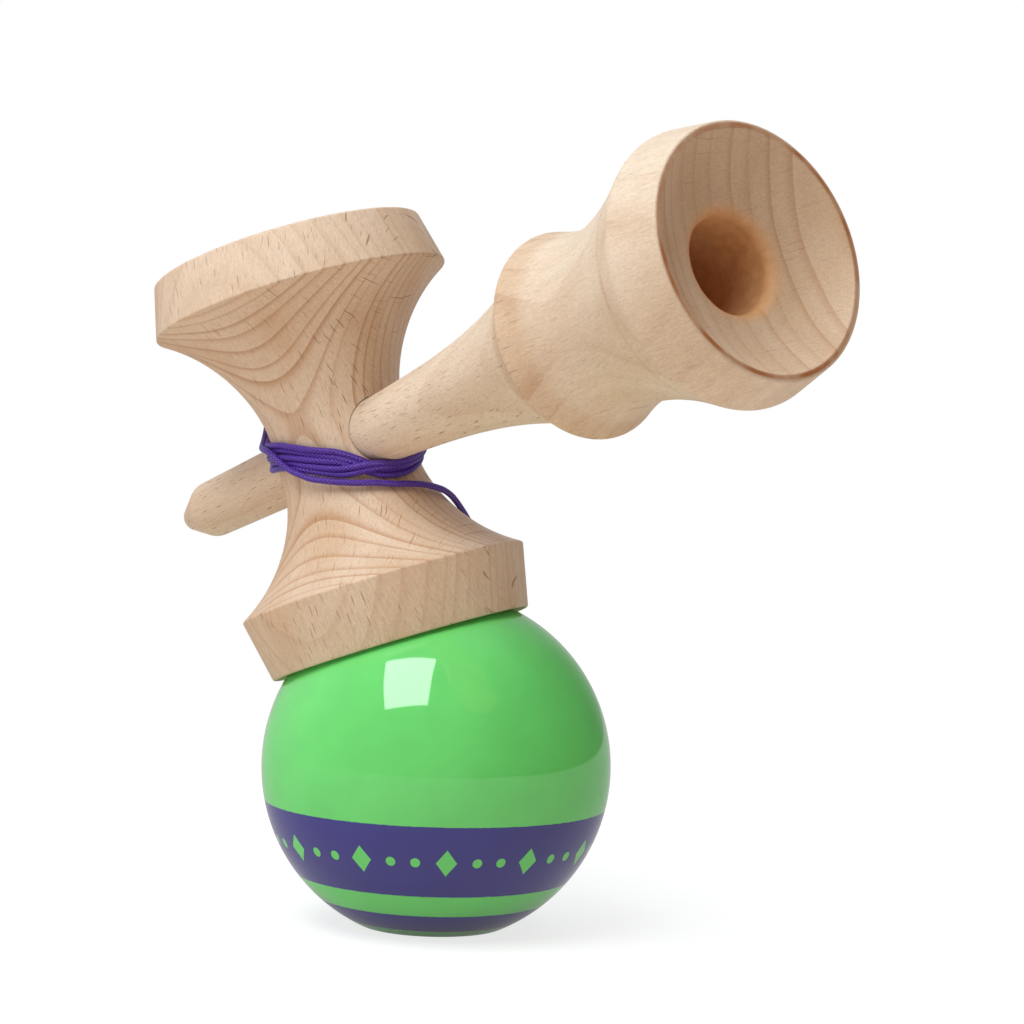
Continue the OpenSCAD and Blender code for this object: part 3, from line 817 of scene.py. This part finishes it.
class KENDAMA_OT_string(bpy.types.Operator):
    """Winds the string round the waist, leads it to the ball and knots its ends"""

    bl_idname = "kendama.string"
    bl_label = "String"

    def execute(self, context):
        scene = context.scene
        cup, string, ball = scene.kendama_cup, scene.kendama_string, scene.kendama_ball
        thick = string.diameter
        radius = ball.diameter / 2
        outlet = [round_axis(WRAP_START, cup.waist / 2 - k * thick, ANCHOR_HEIGHT) for k in (4, 3, 2, 1)]
        count = round(WRAP_POINTS * string.turns)
        wound = [wrap_point(cup, string, max(0.02, i / WRAP_POINTS)) for i in range(count + 1)]
        lead = []
        for angle, h, room in CUP_ROUTE:
            off = thick / 2 + (room + 0.1) * MM
            lead.append(round_axis(math.radians(angle), lie_radius(cup, h * MM, off), h * MM))
        on_cup = [CUP_FRAME @ p for p in outlet + wound + lead]
        on_ball = []
        for angle, polar, room in BALL_ROUTE:
            off = radius + thick / 2 + LIE_GAP + room * MM
            polar = math.radians(polar)
            spot = round_axis(math.radians(angle), off * math.sin(polar), off * math.cos(polar))
            on_ball.append(CUP_FRAME.to_3x3() @ spot)
        on_ball += [Vector((0, back * MM, radius + up * MM)) for back, up in HOLE_ROUTE]
        foot = ball_heights(ball)[3] + ball.bead_gap
        depths = [mix(radius - thick, foot, i / 6) for i in range(7)]
        on_ball += [Vector((0, 0, z)) for z in depths]

        whole = smooth_line(on_cup + on_ball, STRING_STEP)
        split = min(range(len(whole)), key=lambda i: (whole[i] - on_ball[1]).length)
        wound_line, ball_line = whole[: split + 1], whole[split:]
        yarn = braid(scene, "wound_string", cord_length(wound_line))
        wound_string = tube("wound_string", wound_line, thick)
        finish_piece(
            wound_string, yarn, "sarado", "string", "string_anchor", "string_winding", "string_lead",
            crease=STRING_CREASE
        )
        yarn = braid(scene, "ball_string", cord_length(ball_line))
        ball_string = tube("ball_string", ball_line, thick)
        finish_piece(ball_string, yarn, None, "string", "tama_string", crease=STRING_CREASE)
        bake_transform(ball_string)

        tie = braid(scene, "knots", KNOT_CORD)
        pulled = KNOT_SQUEEZE * thick
        under_bead = Vector((0, 0, foot - string.knot / 2))
        ball_knot = overhand_knot("ball_knot", under_bead, Vector((0, 0, 1)), string.knot, pulled)
        finish_piece(ball_knot, tie, "bead", "string", "tama_knot", crease=STRING_CREASE)
        in_handle = HANDLE_FRAME @ Vector((KNOT_OFF, (KNOT_FOOT + KNOT_TOP) / 2 + KNOT_ROOM, 0))
        handle_knot = overhand_knot("handle_knot", in_handle, SIDE_AXIS, string.knot, pulled)
        finish_piece(handle_knot, tie, "ken", "string", "ken_knot", crease=STRING_CREASE)

        return {"FINISHED"}


# Finishes

class Graph:
    """Adds nodes to a node tree; inputs are values or other nodes' outputs."""

    def __init__(self, tree):
        self.tree = tree

    def node(self, kind, inputs=None, **settings):
        made = self.tree.nodes.new(kind)
        for key, value in settings.items():
            setattr(made, key, value)
        for key, value in (inputs or {}).items():
            if isinstance(value, bpy.types.NodeSocket):
                self.tree.links.new(value, made.inputs[key])
            else:
                made.inputs[key].default_value = value
        return made

    def math(self, operation, *values, clamp=False):
        inputs = dict(enumerate(values))
        return self.node("ShaderNodeMath", inputs, operation=operation, use_clamp=clamp).outputs[0]

    def vector(self, operation, *values, output=0):
        inputs = dict(enumerate(values))
        return self.node("ShaderNodeVectorMath", inputs, operation=operation).outputs[output]

    def blend(self, factor, a, b, how="MIX"):
        inputs = {0: factor, 6: a, 7: b}
        return self.node("ShaderNodeMix", inputs, data_type="RGBA", blend_type=how).outputs[2]

    def step(self, value, low, high, start=0.0, end=1.0):
        """A smooth step from start to end as the value goes from low to high."""
        inputs = {"Value": value, "From Min": low, "From Max": high, "To Min": start, "To Max": end}
        return self.node("ShaderNodeMapRange", inputs, interpolation_type="SMOOTHSTEP").outputs[0]

    def noise(self, place, scale, detail=2.0, roughness=0.5):
        inputs = {"Vector": place, "Scale": scale, "Detail": detail, "Roughness": roughness}
        return self.node("ShaderNodeTexNoise", inputs).outputs["Fac"]

    def grey(self, value):
        """A colour that multiplies all three channels alike."""
        return self.node("ShaderNodeCombineXYZ", {0: value, 1: value, 2: value}).outputs[0]

    def split(self, place):
        return self.node("ShaderNodeSeparateXYZ", {0: place}).outputs

    def flecks(self, place, spacing, size):
        """Small lens-shaped flecks at random places, and a random number for each."""
        spaced = self.vector("DIVIDE", place, spacing)
        inputs = {"Vector": spaced, "Scale": 1.0}
        cells = self.node("ShaderNodeTexVoronoi", inputs, voronoi_dimensions="3D")
        away = self.vector("SUBTRACT", spaced, cells.outputs["Position"])
        lens = self.vector("LENGTH", self.vector("DIVIDE", away, size), output="Value")
        return self.step(lens, 0.55, 1.0, 1.0, 0.0), self.split(cells.outputs["Color"])[0]


def rgba(value):
    """An opaque colour for a socket."""
    return (*value, 1.0)


def new_material(name):
    """A material, the graph of its nodes and its shader."""
    material = bpy.data.materials.new(name)
    material.use_nodes = True
    graph = Graph(material.node_tree)
    return material, graph, material.node_tree.nodes["Principled BSDF"]


def grain_group():
    """Node group of beech: yearly rings across X, rays along X, fibres along Z, in millimetres."""
    name = "Beech grain"
    if name in bpy.data.node_groups:
        return bpy.data.node_groups[name]
    tree = bpy.data.node_groups.new(name, "ShaderNodeTree")
    sockets = [
        ("Vector", "INPUT", "NodeSocketVector"), ("Ring Width", "INPUT", "NodeSocketFloat"),
        ("Ring Strength", "INPUT", "NodeSocketFloat"), ("Ray Strength", "INPUT", "NodeSocketFloat"),
        ("Pale", "INPUT", "NodeSocketColor"), ("Warm", "INPUT", "NodeSocketColor"),
        ("Ring", "INPUT", "NodeSocketColor"), ("Ray", "INPUT", "NodeSocketColor"),
        ("Color", "OUTPUT", "NodeSocketColor"), ("Roughness", "OUTPUT", "NodeSocketFloat"),
        ("Height", "OUTPUT", "NodeSocketFloat"),
    ]
    for label, way, kind in sockets:
        tree.interface.new_socket(label, in_out=way, socket_type=kind)
    g = Graph(tree)
    given = g.node("NodeGroupInput").outputs
    place = given["Vector"]
    across, aside, _ = g.split(place)

    # Rings: gently curved and wavy, of uneven width, dark only where each year ends
    curve = g.math("MULTIPLY", g.math("MULTIPLY", aside, aside), 0.004)
    wander = g.math("MULTIPLY", g.math("SUBTRACT", g.noise(place, 0.035, 1.0), 0.5), 3.2)
    depth = g.math("ADD", g.math("ADD", across, curve), wander)
    years = g.math("DIVIDE", depth, given["Ring Width"])
    flat = g.node("ShaderNodeCombineXYZ", {0: years}).outputs[0]
    uneven = g.math("MULTIPLY", g.math("SUBTRACT", g.noise(flat, 0.45, 1.0), 0.5), 1.5)
    years = g.math("ADD", years, uneven)
    season = g.math("FRACT", years)
    late = g.math("POWER", g.step(season, 0.35, 0.97), 2.6)
    late = g.math("MULTIPLY", late, g.step(season, 0.97, 1.0, 1.0, 0.0))
    count = g.math("FLOOR", years)
    year = g.node("ShaderNodeTexWhiteNoise", {"W": count}, noise_dimensions="1D").outputs["Value"]
    late = g.math("MULTIPLY", late, g.step(year, 0.0, 1.0, 0.45, 1.0))

    # Rays: thin ribbons that cross the rings, long across and short along the grain
    bend = g.node("ShaderNodeTexNoise", {"Vector": place, "Scale": 0.22, "Detail": 1.0}).outputs["Color"]
    bent = g.vector("ADD", place, g.vector("MULTIPLY", bend, (0.0, 0.9, 0.0)))
    big, big_chance = g.flecks(bent, (13.0, 1.25, 3.6), (0.42, 0.075, 0.36))
    big = g.math("MULTIPLY", big, g.step(big_chance, 0.25, 0.75))
    fine, fine_chance = g.flecks(bent, (6.0, 0.6, 1.9), (0.42, 0.085, 0.38))
    fine = g.math("MULTIPLY", fine, g.step(fine_chance, 0.2, 0.9, 0.0, 0.8))
    rays = g.math("MAXIMUM", big, fine)

    # Fibres and fine pores
    fibre = g.noise(g.vector("MULTIPLY", place, (1.4, 2.6, 0.16)), 1.0, 3.0, 0.6)
    pores = g.noise(g.vector("MULTIPLY", place, (3.6, 3.6, 1.3)), 1.0, 2.0, 0.7)
    cloud = g.noise(g.vector("MULTIPLY", place, (0.11, 0.08, 0.022)), 1.0, 2.0)

    # Colour: warm clouds, a tone for each year, then rings, rays and the fine shade of fibres and pores
    year_tone = g.math("MULTIPLY", g.math("SUBTRACT", year, 0.5), 0.12)
    tone = g.math("ADD", g.step(cloud, 0.3, 0.72), year_tone, clamp=True)
    wood = g.blend(tone, given["Pale"], given["Warm"])
    wood = g.blend(g.math("MULTIPLY", late, given["Ring Strength"]), wood, given["Ring"])
    wood = g.blend(g.math("MULTIPLY", rays, given["Ray Strength"]), wood, given["Ray"])
    shade = g.math("ADD", g.step(fibre, 0.25, 0.75, 0.94, 1.04), g.step(pores, 0.25, 0.75, -0.085, 0.075))
    wood = g.blend(1.0, wood, g.grey(shade), "MULTIPLY")
    height = g.math("SUBTRACT", g.math("MULTIPLY", fibre, 0.5), g.math("MULTIPLY", rays, 0.4))
    height = g.math("ADD", height, g.math("MULTIPLY", pores, 0.5))
    roughness = g.step(pores, 0.2, 0.8, 0.46, 0.62)
    g.node("NodeGroupOutput", {"Color": wood, "Roughness": roughness, "Height": height})
    return tree


def wood_figure(graph, scene, axes, origin, ring_width, ring_strength, ray_strength):
    """The grain laid along a piece, and places in it in millimetres.

    The axes are the way across the rings and the way of the fibres.
    """
    across, along = axes
    aside = along.cross(across)
    turned = Matrix((across, aside, along)).transposed().to_euler()
    place = graph.node("ShaderNodeTexCoord").outputs["Object"]
    inputs = {"Vector": place, "Location": origin, "Rotation": turned, "Scale": (MM, MM, MM)}
    laid = graph.node("ShaderNodeMapping", inputs, vector_type="TEXTURE").outputs[0]
    wood = scene.kendama_wood
    inputs = {
        "Vector": laid, "Ring Width": ring_width, "Ring Strength": ring_strength,
        "Ray Strength": ray_strength, "Pale": rgba(wood.pale), "Warm": rgba(wood.warm),
        "Ring": rgba(wood.ring), "Ray": rgba(wood.ray),
    }
    return graph.node("ShaderNodeGroup", inputs, node_tree=grain_group()), laid


def sanded(graph, shader, figure, colour_socket):
    """Feeds the grain into a bare, finely sanded surface."""
    links = graph.tree.links
    grain = figure.outputs
    links.new(colour_socket, shader.inputs["Base Color"])
    links.new(grain["Roughness"], shader.inputs["Roughness"])
    inputs = {"Height": grain["Height"], "Strength": 0.35, "Distance": 0.06 * MM}
    bump = graph.node("ShaderNodeBump", inputs)
    links.new(bump.outputs[0], shader.inputs["Normal"])
    shader.inputs["Specular IOR Level"].default_value = 0.35


# Cup piece: the way across its rings, their width in mm, and how strong rings and rays are
CUP_RING_DIRECTION = math.radians(-70)
CUP_RING_WIDTH = 2.0
CUP_RINGS = 0.62
CUP_BAND_FADE = 0.4
CUP_RAYS = 0.7


def cup_wood(scene):
    """Beech with strong rings on the flares and weaker ones on the bands."""
    material, graph, shader = new_material("Cup piece beech")
    across = CUP_FRAME.to_3x3() @ round_axis(CUP_RING_DIRECTION, 1, 0)
    axes = (across, CUP_AXIS)
    figure, laid = wood_figure(
        graph, scene, axes, CUP_FRAME.translation, CUP_RING_WIDTH, CUP_RINGS, CUP_RAYS
    )
    cup = scene.kendama_cup
    height = graph.split(laid)[2]
    low_edge = cup.small_band / MM
    high_edge = (cup.length - cup.big_band) / MM
    low_band = graph.step(height, low_edge - 0.5, low_edge, 1.0, 0.0)
    high_band = graph.step(height, high_edge, high_edge + 0.5)
    fade = graph.math("MULTIPLY", graph.math("MAXIMUM", low_band, high_band), CUP_BAND_FADE)
    strength = graph.math("SUBTRACT", CUP_RINGS, fade)
    graph.tree.links.new(strength, figure.inputs["Ring Strength"])
    sanded(graph, shader, figure, figure.outputs["Color"])
    return material


# Handle: ring width in mm, strength of rings and rays, and the painted shade tint of the bowl and the collar
HANDLE_RING_WIDTH = 3.6
HANDLE_RINGS = 0.4
HANDLE_RAYS = 0.8
BASE_RAYS = 0.25
# Painted shade: a tint that darkens and warms the bowl and the collar
BOWL_COLLAR_SHADE_TINT = (0.93, 0.86, 0.79)
# Two browns of the wood in the base hole, mixed at random
HOLE_BROWNS = ((0.70, 0.35, 0.13), (0.82, 0.44, 0.18))


def handle_wood(scene):
    """Paler beech, ringed and given painted shade in the bowl and on the collar, scorched at the rim and
    brown in the hole.
    """
    material, graph, shader = new_material("Handle beech")
    axes = (SIDE_AXIS, HANDLE_AXIS)
    figure, laid = wood_figure(graph, scene, axes, CROSSING, HANDLE_RING_WIDTH, HANDLE_RINGS, HANDLE_RAYS)
    handle, wood_colours = scene.kendama_handle, scene.kendama_wood
    x, y, along = graph.split(laid)
    squares = graph.math("ADD", graph.math("MULTIPLY", x, x), graph.math("MULTIPLY", y, y))
    out = graph.math("SQRT", squares)

    # Scorched line on the rim
    rim_edge = handle.mouth / 2 / MM + 0.4
    rim_at = handle.rim_at / MM
    from_edge = graph.math("ABSOLUTE", graph.math("SUBTRACT", out, rim_edge))
    near_rim = graph.step(from_edge, 0.15, 0.6, 1.0, 0.0)
    at_rim = graph.step(along, rim_at - 0.6, rim_at - 0.2)
    uneven = graph.step(graph.noise(laid, 0.16), 0.35, 0.65, 0.4, 0.95)
    scorch = graph.math("MULTIPLY", graph.math("MULTIPLY", near_rim, at_rim), uneven)

    # The bowl and the collar cut across the grain, so their rings are stronger
    inside_rim = graph.step(out, 19.2, 19.6, 1.0, 0.0)
    in_bowl = graph.math("MULTIPLY", graph.step(along, 93.0, 95.0), inside_rim)
    before_neck = graph.step(along, 69.0, 73.0, 1.0, 0.0)
    on_collar = graph.math("MULTIPLY", graph.step(along, 59.0, 62.0), before_neck)
    # This mask carries both the stronger rings and the painted shade of the bowl and the collar
    ringed_and_shaded = graph.math("MAXIMUM", in_bowl, on_collar)
    elsewhere = graph.step(along, 40.0, 64.0, 0.3, 0.14)
    rings = graph.math("MAXIMUM", graph.math("MULTIPLY", ringed_and_shaded, HANDLE_RINGS), elsewhere)
    links = graph.tree.links
    links.new(rings, figure.inputs["Ring Strength"])
    base_start = handle.grip_at / MM
    rays = graph.step(along, base_start, base_start + 25, HANDLE_RAYS, BASE_RAYS)
    links.new(rays, figure.inputs["Ray Strength"])
    figure.inputs["Pale"].default_value = rgba(wood_colours.handle_pale)
    figure.inputs["Warm"].default_value = rgba(wood_colours.handle_warm)
    # Painted shade: the bowl and the collar are multiplied by a darker, warmer tint
    wood = graph.blend(ringed_and_shaded, figure.outputs["Color"], rgba(BOWL_COLLAR_SHADE_TINT), "MULTIPLY")
    wood = graph.blend(scorch, wood, rgba(wood_colours.burnt))

    # Brown wood, mixed at random from two browns, in the hole and on its lip
    wall = handle.hole / 2 / MM
    in_hole = graph.step(out, wall - 0.1, wall + 2.6, 0.8, 0.0)
    in_hole = graph.math("MULTIPLY", in_hole, graph.step(along, 80.0, 84.0))
    brown_patches = graph.step(graph.noise(laid, 0.6), 0.3, 0.7)
    dark_brown, light_brown = HOLE_BROWNS
    core = graph.blend(brown_patches, rgba(dark_brown), rgba(light_brown))
    wood = graph.blend(in_hole, wood, core)
    sanded(graph, shader, figure, wood)
    return material


# The bead and the ball are turned with their fibres upright
UPRIGHT = (Vector((1, 0, 0)), Vector((0, 0, 1)))


def bead_wood(scene):
    """Plain beech for the bead."""
    material, graph, shader = new_material("Bead beech")
    figure, _ = wood_figure(graph, scene, UPRIGHT, Vector(), 1.8, 0.5, 0.7)
    sanded(graph, shader, figure, figure.outputs["Color"])
    return material


# Row of diamonds and dots, in mm: half width and half height of a diamond,
# a dot's distance from it, and the dot's radius with its soft edge
MOTIF_COUNT = 12
MOTIF_SPACING = 14.0
DIAMOND_HALF = (1.7, 2.3)
DOT_AWAY = 5.0
DOT_RADIUS = (0.75, 0.83)
BAND_EDGE = 0.05
DUST_COLOUR = (0.55, 0.6, 0.55)


def ball_lacquer(scene):
    """Glossy lacquer with two bands; the drilled holes stay bare wood."""
    ball = scene.kendama_ball
    material, graph, shader = new_material("Ball lacquer")
    figure, laid = wood_figure(graph, scene, UPRIGHT, Vector(), 2.0, 0.5, 0.7)
    x, y, z = graph.split(laid)
    jitter = graph.math("MULTIPLY", graph.math("SUBTRACT", graph.noise(laid, 0.9), 0.5), 0.16)
    level = graph.math("ADD", z, jitter)

    def band(top, height):
        low, high = (top - height) / MM, top / MM
        above = graph.step(level, low - BAND_EDGE, low + BAND_EDGE)
        below = graph.step(level, high - BAND_EDGE, high + BAND_EDGE, 1.0, 0.0)
        return graph.math("MULTIPLY", above, below)

    wide = band(ball.wide_band_top, ball.wide_band)
    narrow = band(ball.narrow_band_top, ball.narrow_band)
    bands = graph.math("ADD", wide, narrow)
    paint = graph.blend(bands, rgba(ball.paint), rgba(ball.band_paint))

    # A row of diamonds and dots along the wide band
    turn = graph.math("MULTIPLY", graph.math("ARCTAN2", y, x), MOTIF_COUNT / math.tau)
    aside = graph.math("SUBTRACT", graph.math("FRACT", graph.math("ADD", turn, 0.3)), 0.5)
    aside = graph.math("ABSOLUTE", graph.math("MULTIPLY", aside, MOTIF_SPACING))
    middle = (ball.wide_band_top - ball.wide_band / 2) / MM
    above = graph.math("ABSOLUTE", graph.math("SUBTRACT", z, middle))
    half_width, half_height = DIAMOND_HALF
    across, upright = graph.math("DIVIDE", aside, half_width), graph.math("DIVIDE", above, half_height)
    diamond = graph.step(graph.math("ADD", across, upright), 0.97, 1.03, 1.0, 0.0)
    from_dot = graph.math("SUBTRACT", aside, DOT_AWAY)
    dot = graph.node("ShaderNodeCombineXYZ", {0: from_dot, 1: above}).outputs[0]
    dot = graph.step(graph.vector("LENGTH", dot, output="Value"), *DOT_RADIUS, 1.0, 0.0)
    paint = graph.blend(graph.math("MAXIMUM", diamond, dot), paint, rgba(ball.paint))

    # Dust specks under the clear coat
    dust, chance = graph.flecks(laid, (3.2, 3.2, 3.2), (0.032, 0.032, 0.032))
    dust = graph.math("MULTIPLY", dust, graph.step(chance, 0.6, 1.0, 0.0, 0.35))
    paint = graph.blend(dust, paint, rgba(DUST_COLOUR))
    cloud = graph.step(graph.noise(laid, 0.12, 2.0), 0.3, 0.7, 0.97, 1.03)
    paint = graph.blend(1.0, paint, graph.grey(cloud), "MULTIPLY")

    # Bare wood below the skin, and a slightly uneven gloss
    out = graph.vector("LENGTH", laid, output="Value")
    radius = ball.diameter / 2 / MM
    bare = graph.step(graph.math("ADD", out, jitter), radius - 0.35, radius - 0.15, 1.0, 0.0)
    links = graph.tree.links
    links.new(graph.blend(bare, paint, figure.outputs["Color"]), shader.inputs["Base Color"])
    smear = graph.step(graph.noise(laid, 0.3, 3.0), 0.3, 0.8, 0.045, 0.075)
    links.new(graph.math("ADD", smear, graph.math("MULTIPLY", bare, 0.5)), shader.inputs["Roughness"])
    ripple = graph.noise(laid, 0.16, 1.0)
    bump = graph.node("ShaderNodeBump", {"Height": ripple, "Strength": 1.0, "Distance": 0.02 * MM})
    links.new(bump.outputs[0], shader.inputs["Normal"])
    shader.inputs["Specular IOR Level"].default_value = 0.8
    return material


# Length of one crossing of the braid
BRAID_PITCH = 0.7 * MM


def braid(scene, name, cord):
    """Braided yarn laid by the tube's own map: along the cord in U and round it in V."""
    string = scene.kendama_string
    material, graph, shader = new_material("Braid of " + name)
    u, v, _ = graph.split(graph.node("ShaderNodeTexCoord").outputs["UV"])
    along = graph.math("MULTIPLY", u, cord / BRAID_PITCH)
    around = graph.math("MULTIPLY", v, float(string.yarns))
    right, left = graph.math("ADD", around, along), graph.math("SUBTRACT", around, along)

    def ridge(value):
        return graph.math("PINGPONG", value, 0.5)

    # One yarn is on top in every other field
    field = graph.math("ADD", graph.math("FLOOR", right), graph.math("FLOOR", left))
    odd = graph.math("FLOORED_MODULO", field, 2.0)
    inputs = {0: odd, 2: ridge(right), 3: ridge(left)}
    rise = graph.node("ShaderNodeMix", inputs, data_type="FLOAT").outputs[0]
    rise = graph.step(rise, 0.06, 0.48)
    place = graph.node("ShaderNodeTexCoord").outputs["Object"]
    fuzz = graph.noise(place, 2600.0, 3.0)
    lit = graph.math("MULTIPLY", rise, graph.step(fuzz, 0.2, 0.8, 0.7, 1.0))
    links = graph.tree.links
    # Painted shade: the dark groove colour fills the crevices between the yarns, over the width set by the
    # step above
    links.new(graph.blend(lit, rgba(string.groove_shade), rgba(string.yarn)), shader.inputs["Base Color"])
    links.new(graph.step(fuzz, 0.2, 0.8, 0.32, 0.46), shader.inputs["Roughness"])
    height = graph.math("ADD", rise, graph.math("MULTIPLY", fuzz, 0.2))
    bump = graph.node("ShaderNodeBump", {"Height": height, "Strength": 1.0, "Distance": 0.1 * MM})
    links.new(bump.outputs[0], shader.inputs["Normal"])
    shader.inputs["Specular IOR Level"].default_value = 0.7
    return material


# Stage

FLOOR_SIZE = 6.0
KEY_WAY = Vector((-0.292, -0.424, 0.857))
KEY_DISTANCE = 0.62
KEY_SIZE = (0.295, 0.38)
KEY_TURN = math.radians(24)
SHADOW_REACH = (90 * MM, 260 * MM)
SHADOW_SHARE = 0.45
# Table: what it looks like, what it bounces back, how bright it glows near the object,
# and how bright gloss sees it, with a painted shadow just under the ball
TABLE_GREY = (0.8, 0.8, 0.8)
TABLE_BOUNCE = (0.88, 0.76, 0.65)
TABLE_GLOW = 0.36
SHADOW_UNDER_BALL = (15 * MM, 45 * MM)
TABLE_MIRRORED = (0.05, 0.56)
WHITE = (1, 1, 1, 1)
# Light all round: cool on the left and behind, warm and weaker on the right and in front
COOL_LIGHT = (0.95, 1.0, 1.1)
WARM_LIGHT = (1.0, 0.755, 0.575)
LIGHT_LEVEL = 1.52
LIGHT_FALL = 1.1


def studio_floor():
    """A white table: it keeps the shadow near the object and is plain white further out."""
    material = bpy.data.materials.new("White table")
    material.use_nodes = True
    tree = material.node_tree
    tree.nodes.clear()
    graph = Graph(tree)
    place = graph.node("ShaderNodeTexCoord").outputs["Object"]
    path = graph.node("ShaderNodeLightPath").outputs
    away = graph.vector("LENGTH", place, output="Value")
    near = graph.math("SUBTRACT", 1.0, graph.step(away, *SHADOW_REACH))
    lit = graph.node("ShaderNodeBsdfDiffuse", {"Color": rgba(TABLE_GREY)}).outputs[0]
    bounce = graph.node("ShaderNodeBsdfDiffuse", {"Color": rgba(TABLE_BOUNCE)}).outputs[0]
    glow = graph.math("ADD", 1.0, graph.math("MULTIPLY", near, TABLE_GLOW))
    white = graph.node("ShaderNodeEmission", {"Color": WHITE, "Strength": glow}).outputs[0]
    share = graph.math("SUBTRACT", 1.0, graph.math("MULTIPLY", near, SHADOW_SHARE))
    seen = graph.node("ShaderNodeMixShader", {0: share, 1: lit, 2: white}).outputs[0]
    # Painted shadow: gloss sees the table darker just under the ball
    mirrored_shadow = graph.step(away, *SHADOW_UNDER_BALL, *TABLE_MIRRORED)
    mirrored = graph.node("ShaderNodeEmission", {"Color": WHITE, "Strength": mirrored_shadow}).outputs[0]
    sharp = graph.math("MAXIMUM", path["Is Glossy Ray"], path["Is Transmission Ray"])
    shader = graph.node("ShaderNodeMixShader", {0: path["Is Camera Ray"], 1: bounce, 2: seen}).outputs[0]
    shader = graph.node("ShaderNodeMixShader", {0: sharp, 1: shader, 2: mirrored}).outputs[0]
    graph.node("ShaderNodeOutputMaterial", {"Surface": shader})
    return material


def studio_world(scene, fill):
    """Light all round, white to the camera, with a darker room in front and on the right for gloss."""
    world = bpy.data.worlds.new("Studio")
    scene.world = world
    world.use_nodes = True
    tree = world.node_tree
    tree.nodes.clear()
    graph = Graph(tree)
    path = graph.node("ShaderNodeLightPath").outputs
    way = graph.split(graph.node("ShaderNodeTexCoord").outputs["Generated"])
    room = graph.step(way[1], -0.35, 0.35, 0.26, 0.5)
    room = graph.math("MULTIPLY", room, graph.step(way[0], 0.1, 0.75, 1.0, 0.2))
    room = graph.math("ADD", room, graph.step(way[0], -0.95, -0.3, 0.1, 0.0))
    right = graph.math("MULTIPLY", way[0], 0.62)
    side = graph.math("SUBTRACT", right, graph.math("MULTIPLY", way[1], 0.78))
    side = graph.step(side, -0.2, 0.95)
    tint = graph.blend(side, rgba(COOL_LIGHT), rgba(WARM_LIGHT))
    level = graph.math("SUBTRACT", LIGHT_LEVEL, graph.math("MULTIPLY", side, LIGHT_FALL))
    level = graph.math("MULTIPLY", level, fill)
    light = graph.node("ShaderNodeBackground", {"Color": tint, "Strength": level}).outputs[0]
    mirrored = graph.node("ShaderNodeBackground", {"Color": WHITE, "Strength": room}).outputs[0]
    white = graph.node("ShaderNodeBackground", {"Color": WHITE, "Strength": 1.0}).outputs[0]
    sharp = graph.math("MAXIMUM", path["Is Glossy Ray"], path["Is Transmission Ray"])
    mixed = graph.node("ShaderNodeMixShader", {0: sharp, 1: light, 2: mirrored}).outputs[0]
    mixed = graph.node("ShaderNodeMixShader", {0: path["Is Camera Ray"], 1: mixed, 2: white}).outputs[0]
    graph.node("ShaderNodeOutputWorld", {"Surface": mixed})


class KENDAMA_OT_stage(bpy.types.Operator):
    """Sets the camera, the softbox, the light all round and the white table"""

    bl_idname = "kendama.stage"
    bl_label = "Stage"

    def execute(self, context):
        scene, stage = context.scene, context.scene.kendama_stage
        scene.view_settings.view_transform = "Standard"
        camera = add_object("camera", bpy.data.cameras.new("camera"))
        camera.data.lens = stage.lens
        camera.data.sensor_width = 36
        camera.data.clip_start = 10 * MM
        camera.location = stage.camera_place
        level = Matrix.Rotation(math.pi / 2 + stage.pitch, 3, "X") @ Matrix.Rotation(stage.roll, 3, "Z")
        camera.rotation_euler = level.to_euler()
        scene.camera = camera

        key = add_object("softbox", bpy.data.lights.new("softbox", "AREA"))
        key.data.shape = "RECTANGLE"
        key.data.size, key.data.size_y = KEY_SIZE
        key.data.energy = stage.key_power
        key.data.color = stage.key_colour
        key.location = KEY_WAY.normalized() * KEY_DISTANCE
        facing = KEY_WAY.to_track_quat("Z", "Y").to_matrix() @ Matrix.Rotation(KEY_TURN, 3, "Z")
        key.rotation_euler = facing.to_euler()

        bm = bmesh.new()
        bmesh.ops.create_grid(bm, x_segments=1, y_segments=1, size=FLOOR_SIZE / 2)
        bmesh.ops.translate(bm, verts=bm.verts, vec=(0, 0, CAD_BOX[0].z))
        mesh = bpy.data.meshes.new("table")
        bm.to_mesh(mesh)
        bm.free()
        table = add_object("table", mesh)
        table.data.materials.append(studio_floor())
        studio_world(scene, stage.fill)
        return {"FINISHED"}


class KENDAMA_PT_panel(bpy.types.Panel):
    bl_idname = "KENDAMA_PT_panel"
    bl_label = "Kendama"
    bl_space_type = "VIEW_3D"
    bl_region_type = "UI"
    bl_category = "Kendama"

    def draw(self, context):
        for operator in OPERATORS:
            self.layout.operator(operator.bl_idname)


OPERATORS = (
    KENDAMA_OT_stage, KENDAMA_OT_string, KENDAMA_OT_ball, KENDAMA_OT_bead, KENDAMA_OT_cup_piece,
    KENDAMA_OT_handle
)
CLASSES = (*SETTINGS.values(), *OPERATORS, KENDAMA_PT_panel)


def register():
    for made in CLASSES:
        bpy.utils.register_class(made)
    for name, group in SETTINGS.items():
        setattr(bpy.types.Scene, name, PointerProperty(type=group))


def unregister():
    for name in SETTINGS:
        delattr(bpy.types.Scene, name)
    for made in reversed(CLASSES):
        bpy.utils.unregister_class(made)


def main():
    register()
    bpy.ops.kendama.stage()
    bpy.ops.kendama.string()
    bpy.ops.kendama.ball()
    bpy.ops.kendama.bead()
    bpy.ops.kendama.cup_piece()
    bpy.ops.kendama.handle()


if __name__ == "__main__":
    main()
